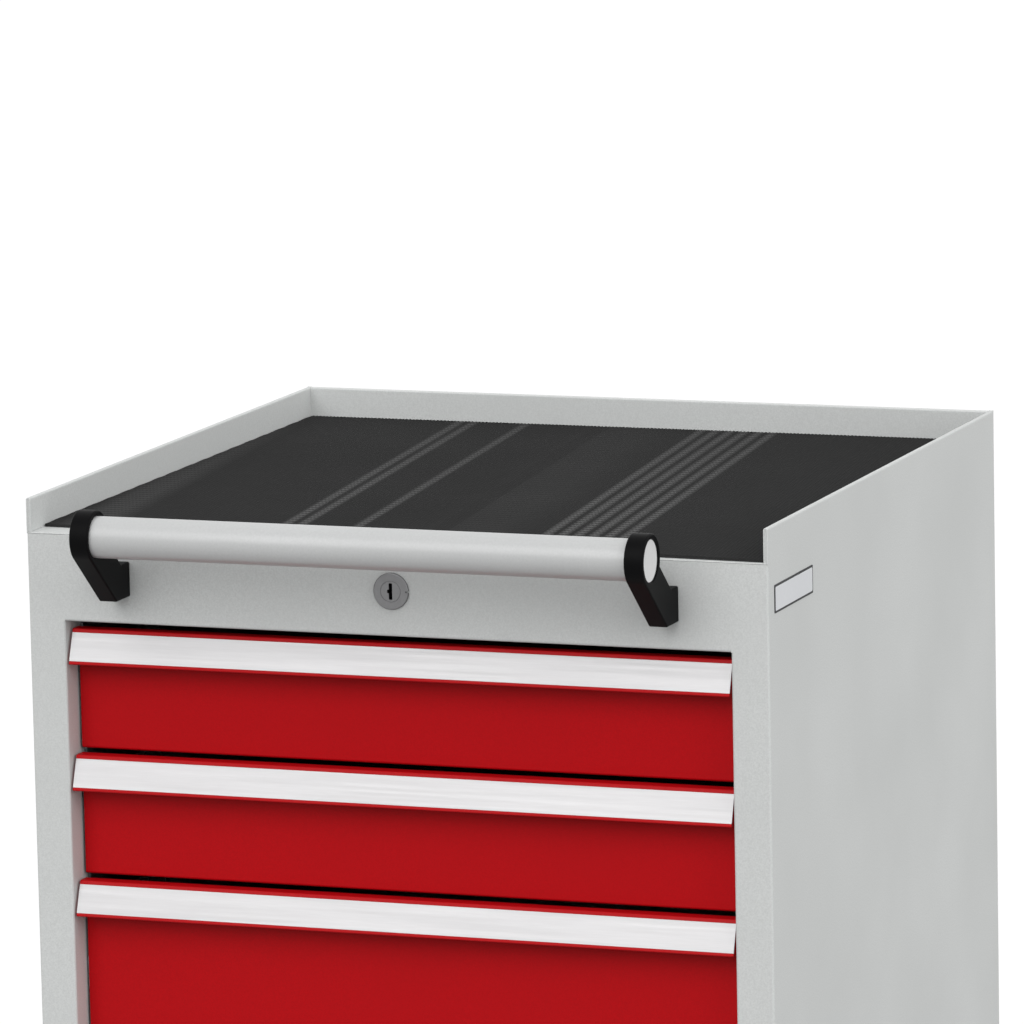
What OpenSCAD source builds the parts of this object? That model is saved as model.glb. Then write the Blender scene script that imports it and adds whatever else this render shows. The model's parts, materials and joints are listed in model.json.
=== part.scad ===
// Mobile drawer cabinet for a workshop: a folded sheet-metal casing on four castors, five
// drawers on full-extension rails, a rimmed top tray with a rubber mat, a tubular push
// handle on two brackets and one central lock.
// Width runs along X, the front faces -Y and Z points up. The floor is Z = 0 and the
// origin lies under the middle of the whole object, push handle included.

/* [Casing] */
// Outside width over the two side walls
body_w = 600; // [500:1:800]
// Outside depth from the front posts to the back wall
body_d = 586; // [480:1:760]
// Sheet thickness of the casing
sheet_t = 1.25; // [0.8:0.05:1.6]
// Width of each front post
post_w = 30; // [26:0.5:45]
// Depth of each front post
post_d = 30; // [29:0.5:45]
// Height of the raised rim round the top tray
rim_h = 26.5; // [12:0.5:60]
// Hollow between the two skins of the folded rim
rim_hollow = 1.2; // [0.5:0.1:4]
// Height of the panel between the drawers and the tray, which holds the lock
lock_panel_h = 68.5; // [62:0.5:110]
// How far the lower edge of the lock panel is folded back
lock_panel_return = 21; // [12:0.5:22]
// Height of the lip at the back of that fold
lock_panel_lip = 10; // [4:0.5:14]
// Height of the plinth below the drawers
plinth_h = 31; // [20:0.5:60]
// Width of the flanges folded under the casing
foot_flange = 30; // [15:0.5:30]
// Height of the flange folded down along the back of the tray
tray_flange = 20; // [8:0.5:30]

/* [Rubber mat] */
// Thickness of the mat
mat_t = 2.5; // [1.5:0.1:5]
// Gap between the mat and the rim round it
mat_gap = 1; // [0.5:0.1:5]
// Bare strip in front of the mat at its left end
mat_setback_left = 25; // [2:0.5:40]
// Bare strip in front of the mat at its right end
mat_setback_right = 3; // [1:0.5:40]

/* [Push handle] */
// Outside diameter of the handle tube
tube_d = 32; // [25:0.5:36]
// Wall of the handle tube
tube_wall = 2; // [1:0.1:4]
// Distance from the casing's front to the middle of the tube
handle_standoff = 60; // [52:0.5:80]
// Height of the middle of the tube above the tray
handle_rise = 9.3; // [0:0.1:16]
// Distance between the outer faces of the two brackets
handle_span = 459; // [380:1:480]
// Thickness of a bracket
bracket_t = 15; // [12:0.5:20]
// Wall of the bracket's ring round the tube
ring_wall = 4.5; // [3:0.1:8]
// Height of the bracket's foot on the lock panel
foot_h = 27; // [24:0.5:32]
// Depth of the bracket's foot along its top
foot_top_d = 15.4; // [12:0.1:20]
// Depth of the bracket's foot along its bottom
foot_bottom_d = 26; // [20:0.5:30]
// Distance from the foot's top down from the tray
foot_drop = 19.7; // [16:0.1:22]
// Thickness of the cap's disc at each end of the tube
cap_t = 2; // [1:0.1:4]
// Length of the cap's plug inside the tube
cap_plug_l = 12; // [5:0.5:25]
// Diameter of the screws in the brackets
handle_screw_d = 5; // [4:0.5:6]
// Length of those screws inside the bracket
handle_screw_l = 16; // [10:0.5:18]
// Distance between the two screws of a bracket
handle_screw_pitch = 13; // [12:0.5:14]

/* [Name plate] */
// Length of the bare name plate on the right side
plate_w = 92; // [40:1:140]
// Height of the name plate
plate_h = 23.5; // [15:0.5:24]
// Thickness of the name plate
plate_t = 0.6; // [0.4:0.1:1]
// Distance from the casing's front to the name plate
plate_setback = 13.4; // [5:0.1:60]
// Distance from the tray level down to the name plate's top
plate_drop = 17.6; // [5:0.1:30]

/* [Drawers] */
// Front height of the two shallow drawers
shallow_front_h = 96; // [92:1:140]
// Front height of the two medium drawers
medium_front_h = 146; // [100:1:200]
// Front height of the deep drawer
deep_front_h = 196; // [110:1:300]
// Gap above the top drawer
top_gap = 7.2; // [3:0.1:12]
// Gap between two drawer fronts
front_gap = 3.2; // [2:0.1:8]
// Gap below the bottom drawer
bottom_gap = 4; // [2:0.1:10]
// Gap between a drawer front and each post
side_gap = 2; // [1:0.1:4]
// Sheet thickness of the drawers
drawer_t = 1; // [0.7:0.05:1.25]
// How far the drawer panel lies behind the front of the posts
panel_recess = 21; // [17:0.5:22]
// Height of the grip along the top of a drawer front
grip_h = 26.5; // [22:0.5:32]
// How far the grip leans back at its top
grip_lean = 9.5; // [5:0.5:10]
// Thickness of the grip with its insert
grip_t = 2.2; // [2:0.1:3]
// Depth of the fold along the bottom of a drawer front
front_fold = 8; // [4:0.5:10]
// Thickness of the insert strip in the grip
strip_t = 1; // [0.6:0.1:1.2]
// Width of the bare edge above the insert strip
strip_top_edge = 4; // [2:0.1:6]
// Width of the lip below the insert strip
strip_lip = 2.5; // [1.5:0.1:5]
// Height of the drawer box above the bottom of its front
box_lift = 8; // [5:0.5:9]
// How far the drawer box stays below the top of its front
box_drop = 14; // [8:0.5:16]
// Width of the fold along the top of the drawer box
box_fold = 6; // [3:0.5:12]
// Height of the divider slots in the drawer's side walls
slot_h = 12; // [6:0.5:14]
// Width of the divider slots
slot_w = 2.5; // [1.5:0.1:4]
// Distance between divider slots
slot_pitch = 34; // [20:1:60]

/* [Rails] */
// Height of the rail fixed in the casing
rail_h = 46; // [40:0.5:46]
// Sheet thickness of the rails
rail_t = 1.5; // [1:0.1:1.8]
// Width of the whole set of rails beside a drawer
rail_stack = 16; // [14:0.5:20]
// Gap between sliding rails
rail_gap = 0.3; // [0.2:0.05:0.5]
// Height of the rail above the bottom of the drawer front
rail_lift = 10; // [8:0.5:11]
// Space behind the rails
rail_rear_space = 52; // [40:0.5:80]
// Gap between the posts and the rails
rail_setback = 4; // [2:0.5:8]
// Width of the uprights that carry the rails
upright_w = 40; // [25:0.5:60]
// Sheet thickness of the uprights
upright_t = 1.5; // [1:0.1:3]

/* [Lock] */
// Diameter of the lock's rosette
rosette_d = 28.5; // [26:0.5:32]
// Thickness of the rosette
rosette_t = 2.5; // [1:0.1:5]
// Distance from the tray level down to the lock
lock_drop = 33.5; // [30:0.5:36]
// Diameter of the lock barrel
barrel_d = 22; // [20:0.5:23]
// Length of the barrel behind the panel's face
barrel_l = 21; // [16:0.5:21]
// Diameter of the turning cylinder
cylinder_d = 16; // [14.5:0.5:17]
// Height of the key slot
key_slot_h = 12.5; // [8:0.5:13]
// Width of the key slot
key_slot_w = 3; // [2:0.1:4]
// Depth of the key slot
key_slot_d = 14; // [6:0.5:16]
// Diameter of the nut behind the panel
lock_nut_d = 29; // [27:0.5:32]
// Thickness of that nut
lock_nut_t = 4; // [3:0.5:6]
// Distance from the lock's axis to the pin on its cam
cam_r = 9; // [8.5:0.1:9.5]
// Diameter of the pin on the cam
cam_pin_d = 5; // [4:0.1:5.5]
// Thickness of the cam
cam_t = 2; // [1:0.1:2.2]
// Thickness of the lock bar
bar_t = 2; // [1.5:0.1:2.5]
// Height of the lock bar's arm
arm_h = 16; // [14:0.5:17]
// Depth of the lock bar inside the post
bar_d = 11; // [8:0.5:16]
// Height of the catch on a drawer and of the tab that holds it
catch_h = 10; // [8:0.5:11]
// Play between a locked tab and its catch
catch_play = 1; // [0.5:0.1:2]
// Reach of the catch beside the drawer
catch_reach = 10; // [8:0.5:10]

/* [Castors] */
// Wheel diameter
wheel_d = 125; // [112:1:140]
// Tread width
wheel_w = 37.5; // [28:0.5:40]
// Rubber height of the tyre
tyre_h = 15; // [10:0.5:18]
// Rounding of the tyre's shoulders
shoulder_r = 6; // [3:0.5:9]
// Diameter of the wheel hub
hub_d = 34; // [28:0.5:40]
// Side play of the wheel hub between the fork's legs
hub_gap = 2; // [1:0.1:2.5]
// Thickness of the wheel's web
web_t = 8; // [4:0.5:14]
// Thickness of the wheel's rim
wheel_rim_t = 6; // [4:0.5:9]
// Diameter of the wheel axle
axle_d = 10; // [8:0.5:14]
// Distance from the swivel axis to the wheel axle
trail = 38; // [36:0.5:42]
// Inside width of the forks
fork_w = 48; // [47:0.5:54]
// Sheet thickness of the forks
fork_t = 3; // [2:0.1:4]
// Length of the castor plates, along X
plate_l = 105; // [96:1:110]
// Depth of the castor plates, along Y
plate_d = 85; // [76:1:88]
// Thickness of the castor plates
plate_th = 4; // [3:0.1:6]
// Distance between the bolts along X
bolt_x = 80; // [76:1:84]
// Distance between the bolts along Y
bolt_y = 60; // [58:1:62]
// Diameter of the castor bolts
bolt_d = 8; // [6:0.5:9]
// Diameter of the swivel bearing
swivel_d = 60; // [50:1:62]
// Height of the swivel bearing
swivel_h = 8; // [5:0.5:12]
// Diameter of the kingpin
kingpin_d = 12; // [10:0.5:14]
// Thickness of the fork's crown
crown_t = 4; // [3:0.1:6]
// Height of the kingpin's head
kingpin_head_h = 4; // [3:0.1:6]
// Space between the kingpin's head and the wheel's top
wheel_headroom = 9.4; // [8:0.1:20]
// Distance from the side wall to the middle of a castor
castor_inset_x = 78; // [78:0.5:110]
// Distance from the front or the back to the middle of a castor
castor_inset_y = 85; // [85:0.5:120]
// Depth of the channels that carry the castors
channel_d = 96; // [92:0.5:98]
// Sheet thickness of those channels
channel_t = 2; // [1.5:0.1:3]
// Width of the brake pedal
pedal_w = 32; // [24:0.5:36]
// Reach of the pedal in front of its pivot
pedal_l = 60; // [48:0.5:64]
// Thickness of the pedal
pedal_t = 6; // [5:0.5:8]
// Diameter of the pedal's pivot pins
pedal_pin_d = 6; // [5:0.5:7]
// Free space between the brake shoe and the tyre
shoe_gap = 2.8; // [2.6:0.1:5]

/* [Hidden] */
$fn = 64;

// Clearances: a shaft or pin that turns in its hole, a part seated in a hole, a screw in a
// plate, two flat parts that move past each other
turn_gap = 0.05;
seat_gap = 0.1;
screw_gap = 0.25;
run_gap = 0.3;

// How far a cut runs past the faces that it opens
cut = 1;

// How far a bolt or pin stands out past what it holds
bolt_end = 2;
pin_end = 1;

// Corner radius of a hexagon head or nut on a bolt of diameter d
function hex_r(d) = 0.87 * d;

// Heights from the floor up
wheel_r = wheel_d / 2;
castor_h = wheel_d + wheel_headroom + kingpin_head_h + crown_t + swivel_h + plate_th + 2 * run_gap;
front_heights = [shallow_front_h, shallow_front_h, medium_front_h, medium_front_h, deep_front_h];
drawer_count = len(front_heights);
function heights_above(k) = k <= 0 ? 0 : front_heights[k - 1] + heights_above(k - 1);
opening_h = top_gap + heights_above(drawer_count) + (drawer_count - 1) * front_gap + bottom_gap;
opening_z0 = castor_h + plinth_h;
opening_z1 = opening_z0 + opening_h;
tray_z = opening_z1 + lock_panel_h;
top_z = tray_z + rim_h;
function front_z1(k) = opening_z1 - top_gap - heights_above(k) - k * front_gap;
function front_z0(k) = front_z1(k) - front_heights[k];

// Width and depth
half_w = body_w / 2;
opening_half = half_w - post_w;
ring_r = tube_d / 2 + ring_wall;
handle_reach = handle_standoff + ring_r;
front_y = -(body_d - handle_reach) / 2;
back_y = front_y + body_d;
rim_t = 2 * sheet_t + rim_hollow;
tray_back_y = back_y - sheet_t;

// Rails and drawer boxes
rail_y0 = front_y + post_d + rail_setback;
rail_l = back_y - rail_rear_space - rail_y0;
box_half = opening_half - rail_stack;
box_y0 = front_y + panel_recess + sheet_t;
box_l = rail_y0 + rail_l - box_y0;
mid_h = rail_h - 2 * rail_t - 2 * rail_gap;
inner_h = mid_h - 2 * rail_t - 2 * rail_gap;
function rail_z(k) = front_z0(k) + rail_lift + rail_h / 2;
function box_z0(k) = front_z0(k) + box_lift;
function box_z1(k) = front_z1(k) - box_drop;

// Lock: the cam turns a quarter turn from 45 degrees above level to 45 degrees below it
lock_z = tray_z - lock_drop;
lock_stroke = 2 * cam_r * sin(45);
barrel_y1 = front_y + barrel_l;
cam_y0 = barrel_y1 + run_gap;
arm_y0 = cam_y0 + cam_t + 2 * run_gap;
arm_y1 = arm_y0 + bar_t;
arm_z = lock_z + lock_stroke / 2;
bar_x1 = -opening_half - sheet_t - run_gap;
bar_x0 = bar_x1 - bar_t;
tab_short = 5;
tab_x1 = -opening_half + rail_stack - tab_short;
tab_play = 1;
catch_lift = 5;
catch_y0 = arm_y1 + catch_play;
function catch_z1(k) = rail_z(k) + rail_h / 2 + catch_lift + catch_h;
function tab_z0(k) = catch_z1(k) + tab_play;

// Castors
fork_y = front_y + castor_inset_y;
fixed_y = back_y - castor_inset_y;
castor_x = half_w - castor_inset_x;
axle_z = wheel_r;
hub_w = fork_w - 2 * hub_gap;
plate_z = castor_h - plate_th;
swivel_z = plate_z - swivel_h;
crown_z1 = swivel_z - run_gap;
crown_z0 = crown_z1 - crown_t;
kingpin_head_r = kingpin_d / 2 + 5;
leg_top_half = swivel_d / 2;
leg_back_extra = 6;
leg_shoulder_h = 24;
leg_neck_half = 13;
leg_neck_drop = 4;
leg_eye_r = 15;
pivot_dy = -16;
pivot_dz = -31;
shoe_angle = 143;

// A box given by its lowest and its highest corner
module block(low, high) {
  translate(low) cube(high - low);
}

// A round bar along X from x0 to x1 through (y, z)
module x_bar(x0, x1, y, z, r) {
  translate([x0, y, z]) rotate([0, 90, 0]) cylinder(h = x1 - x0, r = r);
}

// A round bar along Y from y0 to y1 through (x, z)
module y_bar(x, z, y0, y1, r) {
  translate([x, y0, z]) rotate([-90, 0, 0]) cylinder(h = y1 - y0, r = r);
}

// An outline in Y and Z, stretched along X from x0 to x1
module x_profile(x0, x1, points) {
  translate([x0, 0, 0]) rotate([90, 0, 90]) linear_extrude(x1 - x0) polygon(points);
}

// The same shape on both sides of the cabinet
module both_sides() {
  children();
  mirror([1, 0, 0]) children();
}

// Side wall with its front post, foot flange and folded rim. The left post also has a slot
// beside each drawer for the lock bar's tab, and a window for its arm.
module side_sheet(slotted) {
  difference() {
    union() {
      block([-half_w, front_y, castor_h], [-half_w + sheet_t, back_y, top_z]);
      block([-half_w, front_y, castor_h],
            [-opening_half, front_y + sheet_t, tray_z - sheet_t]);
      block([-opening_half - sheet_t, front_y, castor_h],
            [-opening_half, front_y + post_d, tray_z - sheet_t]);
      block([-half_w, front_y, castor_h],
            [-half_w + foot_flange, tray_back_y, castor_h + sheet_t]);
      block([-half_w, front_y, top_z - sheet_t],
            [-half_w + rim_t, tray_back_y, top_z]);
      block([-half_w + rim_t - sheet_t, front_y, tray_z],
            [-half_w + rim_t, tray_back_y, top_z]);
    }
    if (slotted) {
      for (k = [0 : drawer_count - 1])
        block([-opening_half - 2 * sheet_t, arm_y0 - tab_play,
               tab_z0(k) - lock_stroke - tab_play],
              [-opening_half + sheet_t, arm_y1 + tab_play, tab_z0(k) + catch_h + tab_play]);
      block([-opening_half - 2 * sheet_t, arm_y0 - tab_play,
             arm_z - lock_stroke - arm_h / 2 - tab_play],
            [-opening_half + sheet_t, arm_y1 + tab_play, arm_z + arm_h / 2 + tab_play]);
    }
  }
}

module side_panel_left() {
  color("lightgray") side_sheet(true);
}

module side_panel_right() {
  color("lightgray") mirror([1, 0, 0]) side_sheet(false);
}

// Back wall between the side walls, with the rear rim folded at its top
module back_panel() {
  color("lightgray") {
    block([-half_w + sheet_t, tray_back_y, castor_h], [half_w - sheet_t, back_y, top_z]);
    block([-half_w + rim_t, back_y - rim_t, top_z - sheet_t],
          [half_w - rim_t, back_y, top_z]);
    block([-half_w + rim_t, back_y - rim_t, tray_z],
          [half_w - rim_t, back_y - rim_t + sheet_t, top_z]);
  }
}

// Flat tray that closes the casing, with a flange welded to the back wall
module top_tray() {
  color("lightgray") {
    block([-half_w + sheet_t, front_y, tray_z - sheet_t],
          [half_w - sheet_t, tray_back_y, tray_z]);
    block([-half_w + sheet_t, tray_back_y - sheet_t, tray_z - tray_flange],
          [half_w - sheet_t, tray_back_y, tray_z]);
  }
}

// Panel above the drawers, with holes for the lock and for the handle's screws
module lock_panel() {
  color("lightgray") difference() {
    union() {
      block([-opening_half, front_y, opening_z1],
            [opening_half, front_y + sheet_t, tray_z - sheet_t]);
      block([-opening_half, front_y, opening_z1],
            [opening_half, front_y + lock_panel_return, opening_z1 + sheet_t]);
      block([-opening_half, front_y + lock_panel_return - sheet_t, opening_z1],
            [opening_half, front_y + lock_panel_return, opening_z1 + lock_panel_lip]);
    }
    y_bar(0, lock_z, front_y - cut, front_y + sheet_t + cut, barrel_d / 2 + seat_gap);
    at_handle_screws() y_bar(0, 0, front_y - cut, front_y + sheet_t + cut,
                             handle_screw_d / 2 + screw_gap);
  }
}

// Floor under the drawers, notched round the posts, with the plinth folded down in front
module base_pan() {
  color("lightgray") {
    block([-half_w + sheet_t, front_y + post_d, opening_z0 - sheet_t],
          [half_w - sheet_t, tray_back_y, opening_z0]);
    block([-opening_half, front_y, opening_z0 - sheet_t],
          [opening_half, front_y + post_d, opening_z0]);
    block([-opening_half, front_y, castor_h],
          [opening_half, front_y + sheet_t, opening_z0]);
    block([-opening_half, front_y, castor_h],
          [opening_half, front_y + foot_flange, castor_h + sheet_t]);
  }
}

// Two channels under the floor that carry the castors
module castor_channel(y) {
  y0 = y - channel_d / 2;
  y1 = y + channel_d / 2;
  x1 = half_w - max(foot_flange, post_w);
  difference() {
    block([-x1, y0, castor_h], [x1, y1, opening_z0 - sheet_t]);
    block([-x1 - cut, y0 + channel_t, castor_h + channel_t],
          [x1 + cut, y1 - channel_t, opening_z0]);
    at_castor_bolts(y) translate([0, 0, castor_h - cut])
      cylinder(h = channel_t + 2 * cut, r = bolt_d / 2 + screw_gap);
  }
}

module castor_channels() {
  color("silver") {
    castor_channel(fork_y);
    castor_channel(fixed_y);
  }
}

// Four uprights on the side walls, to which the rails are fixed
module upright(y0) {
  z1 = opening_z1 - top_gap;
  difference() {
    block([-half_w + sheet_t, y0, opening_z0], [-opening_half, y0 + upright_w, z1]);
    block([-half_w, y0 + upright_t, opening_z0 - cut],
          [-opening_half - upright_t, y0 + upright_w - upright_t, z1 + cut]);
  }
}

module slide_uprights() {
  color("silver") both_sides() {
    upright(rail_y0);
    upright(rail_y0 + rail_l - upright_w);
  }
}

// A rail's section, open on one side, from the wall of a channel at x0 to its rims at x1
module rail_channel(x0, x1, h, z) {
  lo = min(x0, x1);
  hi = max(x0, x1);
  web = x0 < x1 ? [x0, x0 + rail_t] : [x0 - rail_t, x0];
  block([web[0], rail_y0, z - h / 2], [web[1], rail_y0 + rail_l, z + h / 2]);
  block([lo, rail_y0, z - h / 2], [hi, rail_y0 + rail_l, z - h / 2 + rail_t]);
  block([lo, rail_y0, z + h / 2 - rail_t], [hi, rail_y0 + rail_l, z + h / 2]);
}

// Rails fixed in the casing, two for each drawer
rail_x0 = -opening_half;
mid_x0 = rail_x0 + rail_t + 2 * rail_gap;
mid_x1 = -box_half - rail_t - 2 * rail_gap;
web_x = (mid_x0 + mid_x1) / 2 - rail_t;

module cabinet_rails() {
  color("silver") both_sides()
    for (k = [0 : drawer_count - 1])
      rail_channel(rail_x0, mid_x1 - rail_t, rail_h, rail_z(k));
}

// Middle rails of one drawer, a section with a web between two flanges
module mid_rails(k) {
  color("gainsboro") both_sides() {
    block([web_x, rail_y0, rail_z(k) - mid_h / 2],
          [web_x + rail_t, rail_y0 + rail_l, rail_z(k) + mid_h / 2]);
    for (up = [0, 1])
      translate([0, 0, up * (mid_h - rail_t)])
        block([mid_x0, rail_y0, rail_z(k) - mid_h / 2],
              [mid_x1, rail_y0 + rail_l, rail_z(k) - mid_h / 2 + rail_t]);
  }
}

// Drawer box with its folded top edge, divider slots, welded rails and the lock's catch
module drawer_box(k) {
  z0 = box_z0(k);
  z1 = box_z1(k);
  slots = floor((box_l - 2 * slot_pitch) / slot_pitch);
  color("gray") {
    difference() {
      block([-box_half, box_y0, z0], [box_half, box_y0 + box_l, z1]);
      block([-box_half + drawer_t, box_y0 + drawer_t, z0 + drawer_t],
            [box_half - drawer_t, box_y0 + box_l - drawer_t, z1 - drawer_t]);
      block([-box_half + box_fold, box_y0 + box_fold, z1 - 2 * drawer_t],
            [box_half - box_fold, box_y0 + box_l - box_fold, z1 + cut]);
      for (i = [1 : slots])
        translate([0, box_y0 + (i + 0.5) * slot_pitch, z1 - 2 * drawer_t - slot_h])
          block([-half_w, 0, 0], [half_w, slot_w, slot_h]);
    }
    both_sides() rail_channel(-box_half, web_x + rail_t + 2 * rail_gap, inner_h, rail_z(k));
    block([-box_half - catch_reach, catch_y0, catch_z1(k) - catch_h],
          [-box_half, catch_y0 + bar_t, catch_z1(k)]);
  }
}

// Drawer front: a recessed panel, and a grip that leans back from its lip to its top.
// Distances along the grip run from its top edge down to its lip.
grip_l = sqrt(grip_h * grip_h + grip_lean * grip_lean);
function grip_point(k, along, deep) =
  [front_y + grip_lean - along * grip_lean / grip_l + deep * grip_h / grip_l,
   front_z1(k) - along * grip_h / grip_l - deep * grip_lean / grip_l];
front_half = opening_half - side_gap;
strip_a0 = strip_top_edge;
strip_a1 = grip_l - strip_lip;

module drawer_front(k) {
  panel_y = front_y + panel_recess;
  top = front_z1(k);
  bottom = front_z0(k);
  color("firebrick") {
    block([-front_half, panel_y, bottom], [front_half, panel_y + sheet_t, top]);
    block([-front_half, panel_y, bottom],
          [front_half, panel_y + front_fold, bottom + sheet_t]);
    x_profile(-front_half, front_half, [
      [panel_y + sheet_t, top],
      grip_point(k, 0, 0),
      grip_point(k, strip_a0, 0),
      grip_point(k, strip_a0, strip_t),
      grip_point(k, strip_a1, strip_t),
      grip_point(k, strip_a1, 0),
      grip_point(k, grip_l, 0),
      grip_point(k, grip_l, grip_t),
      [grip_point(k, 0, grip_t)[0], top - sheet_t],
      [panel_y + sheet_t, top - sheet_t]
    ]);
  }
}

// Insert strip in the grip, bare
module drawer_strip(k) {
  color("whitesmoke") x_profile(-front_half, front_half, [
    grip_point(k, strip_a0, 0),
    grip_point(k, strip_a1, 0),
    grip_point(k, strip_a1, strip_t),
    grip_point(k, strip_a0, strip_t)
  ]);
}

// Ribbed mat in the tray, cut a little out of square along its front
module rubber_mat() {
  x1 = half_w - rim_t - mat_gap;
  y1 = back_y - rim_t - mat_gap;
  color("dimgray") translate([0, 0, tray_z]) linear_extrude(mat_t) polygon([
    [-x1, front_y + mat_setback_left],
    [x1, front_y + mat_setback_right],
    [x1, y1],
    [-x1, y1]
  ]);
}

// Bare plate on the right side, where a name could go
module name_plate() {
  color("white") block(
    [half_w, front_y + plate_setback, tray_z - plate_drop - plate_h],
    [half_w + plate_t, front_y + plate_setback + plate_w, tray_z - plate_drop]);
}

// Push handle
tube_y = front_y - handle_standoff;
tube_z = tray_z + handle_rise;
tube_half = handle_span / 2 - cap_t;

module at_handle_screws() {
  middle_z = tray_z - foot_drop - foot_h / 2;
  for (side = [-1, 1])
    for (up = [-1, 1])
      translate([side * (handle_span - bracket_t) / 2, 0,
                 middle_z + up * handle_screw_pitch / 2])
        children();
}

module handle_tube() {
  color("lightgray") difference() {
    x_bar(-tube_half, tube_half, tube_y, tube_z, tube_d / 2);
    x_bar(-tube_half - cut, tube_half + cut, tube_y, tube_z, tube_d / 2 - tube_wall);
  }
}

module handle_end_caps() {
  color("whitesmoke") both_sides() {
    x_bar(tube_half, tube_half + cap_t, tube_y, tube_z, tube_d / 2);
    x_bar(tube_half - cap_plug_l, tube_half, tube_y, tube_z,
          tube_d / 2 - tube_wall - seat_gap);
  }
}

// Bracket outline: a foot on the panel and an arm that rises to a ring round the tube.
// Its lower edge leaves the foot's front corner and touches the ring.
module bracket_outline() {
  foot_z1 = -foot_drop;
  foot_z0 = foot_z1 - foot_h;
  reach = [handle_standoff - foot_bottom_d, handle_rise - foot_z0];
  far = norm(reach);
  slope = atan2(reach[1], reach[0]) - asin(ring_r / far);
  touch = sqrt(far * far - ring_r * ring_r);
  back_angle = 200;
  polygon([
    [0, foot_z0],
    [-foot_bottom_d, foot_z0],
    [-foot_bottom_d - touch * cos(slope), foot_z0 + touch * sin(slope)],
    [-handle_standoff, handle_rise],
    [-handle_standoff - ring_r * cos(back_angle), handle_rise + ring_r * sin(back_angle)],
    [-foot_top_d, foot_z1],
    [0, foot_z1]
  ]);
  translate([-handle_standoff, handle_rise]) circle(r = ring_r);
}

module handle_brackets() {
  color("black") difference() {
    both_sides()
      translate([handle_span / 2 - bracket_t, front_y, tray_z])
        rotate([90, 0, 90]) linear_extrude(bracket_t) bracket_outline();
    x_bar(-handle_span, handle_span, tube_y, tube_z, tube_d / 2 + seat_gap);
    at_handle_screws()
      y_bar(0, 0, front_y - handle_screw_l - pin_end, front_y + cut,
            handle_screw_d / 2 + seat_gap);
  }
}

// Pan-head screws from inside the lock panel into the brackets
module handle_screws() {
  head_y = front_y + sheet_t;
  color("silver") at_handle_screws() {
    y_bar(0, 0, front_y - handle_screw_l, head_y, handle_screw_d / 2);
    y_bar(0, 0, head_y, head_y + handle_screw_d / 2, handle_screw_d);
  }
}

// Lock barrel with its rosette, fixed in the lock panel
module lock_housing() {
  color("darkgray") difference() {
    union() {
      y_bar(0, lock_z, front_y - rosette_t, front_y, rosette_d / 2);
      y_bar(0, lock_z, front_y, barrel_y1, barrel_d / 2);
    }
    y_bar(0, lock_z, front_y - rosette_t - cut, barrel_y1 + cut, cylinder_d / 2 + turn_gap);
  }
}

// Nut that holds the barrel from behind
module lock_nut() {
  color("silver") difference() {
    translate([0, front_y + sheet_t, lock_z]) rotate([-90, 0, 0])
      cylinder(h = lock_nut_t, r = lock_nut_d / 2, $fn = 6);
    y_bar(0, lock_z, front_y, front_y + sheet_t + lock_nut_t + cut, barrel_d / 2 + seat_gap);
  }
}

// Turning cylinder with its key slot
module lock_cylinder() {
  face_y = front_y - rosette_t;
  color("gray") difference() {
    y_bar(0, lock_z, face_y, cam_y0, cylinder_d / 2);
    block([-key_slot_w / 2, face_y - cut, lock_z - key_slot_h / 2],
          [key_slot_w / 2, face_y + key_slot_d, lock_z + key_slot_h / 2]);
    block([-key_slot_w, face_y - cut, lock_z - key_slot_w / 2],
          [0, face_y + key_slot_d, lock_z + key_slot_w / 2]);
  }
}

// Cam on the cylinder's inner end, with the pin that moves the lock bar
module lock_cam() {
  color("silver") translate([0, 0, lock_z]) rotate([0, -45, 0]) {
    y_bar(0, 0, cam_y0, cam_y0 + cam_t, cylinder_d / 2);
    block([0, cam_y0, -cam_pin_d], [cam_r, cam_y0 + cam_t, cam_pin_d]);
    y_bar(cam_r, 0, cam_y0, cam_y0 + cam_t, cam_pin_d);
    y_bar(cam_r, 0, cam_y0, arm_y1 + pin_end, cam_pin_d / 2);
  }
}

// Lock bar: an arm behind the lock, a bar down inside the left post and a tab over the
// catch of each drawer
module lock_bar() {
  play = 0.5;
  slot_x0 = cam_r * cos(45) - cam_pin_d / 2 - play;
  slot_x1 = cam_r + cam_pin_d / 2 + play;
  color("silver") {
    difference() {
      block([bar_x0, arm_y0, arm_z - arm_h / 2],
            [slot_x1 + cam_pin_d, arm_y1, arm_z + arm_h / 2]);
      block([slot_x0, arm_y0 - cut, arm_z - cam_pin_d / 2 - play],
            [slot_x1, arm_y1 + cut, arm_z + cam_pin_d / 2 + play]);
    }
    block([bar_x0, arm_y1 - bar_d, tab_z0(drawer_count - 1)],
          [bar_x1, arm_y1, arm_z + arm_h / 2]);
    for (k = [0 : drawer_count - 1])
      block([bar_x0, arm_y0, tab_z0(k)], [tab_x1, arm_y1, tab_z0(k) + catch_h]);
  }
}

// Two plastic guides in the left post that keep the lock bar upright
module lock_bar_guides() {
  guide_h = 12;
  guide_wall = 2;
  color("dimgray") for (k = [0, drawer_count - 2])
    translate([0, 0, rail_z(k)]) difference() {
      block([bar_x0 - run_gap - guide_wall, front_y + sheet_t, 0],
            [-opening_half - sheet_t, arm_y1 + run_gap + guide_wall / 2, guide_h]);
      block([bar_x0 - run_gap, arm_y1 - bar_d - run_gap, -cut],
            [-opening_half, arm_y1 + run_gap, guide_h + cut]);
    }
}

// Castor mounting
module at_castor_bolts(y) {
  for (side = [-1, 1])
    for (i = [-1, 1])
      for (j = [-1, 1])
        translate([side * castor_x + i * bolt_x / 2, y + j * bolt_y / 2, 0]) children();
}

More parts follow.
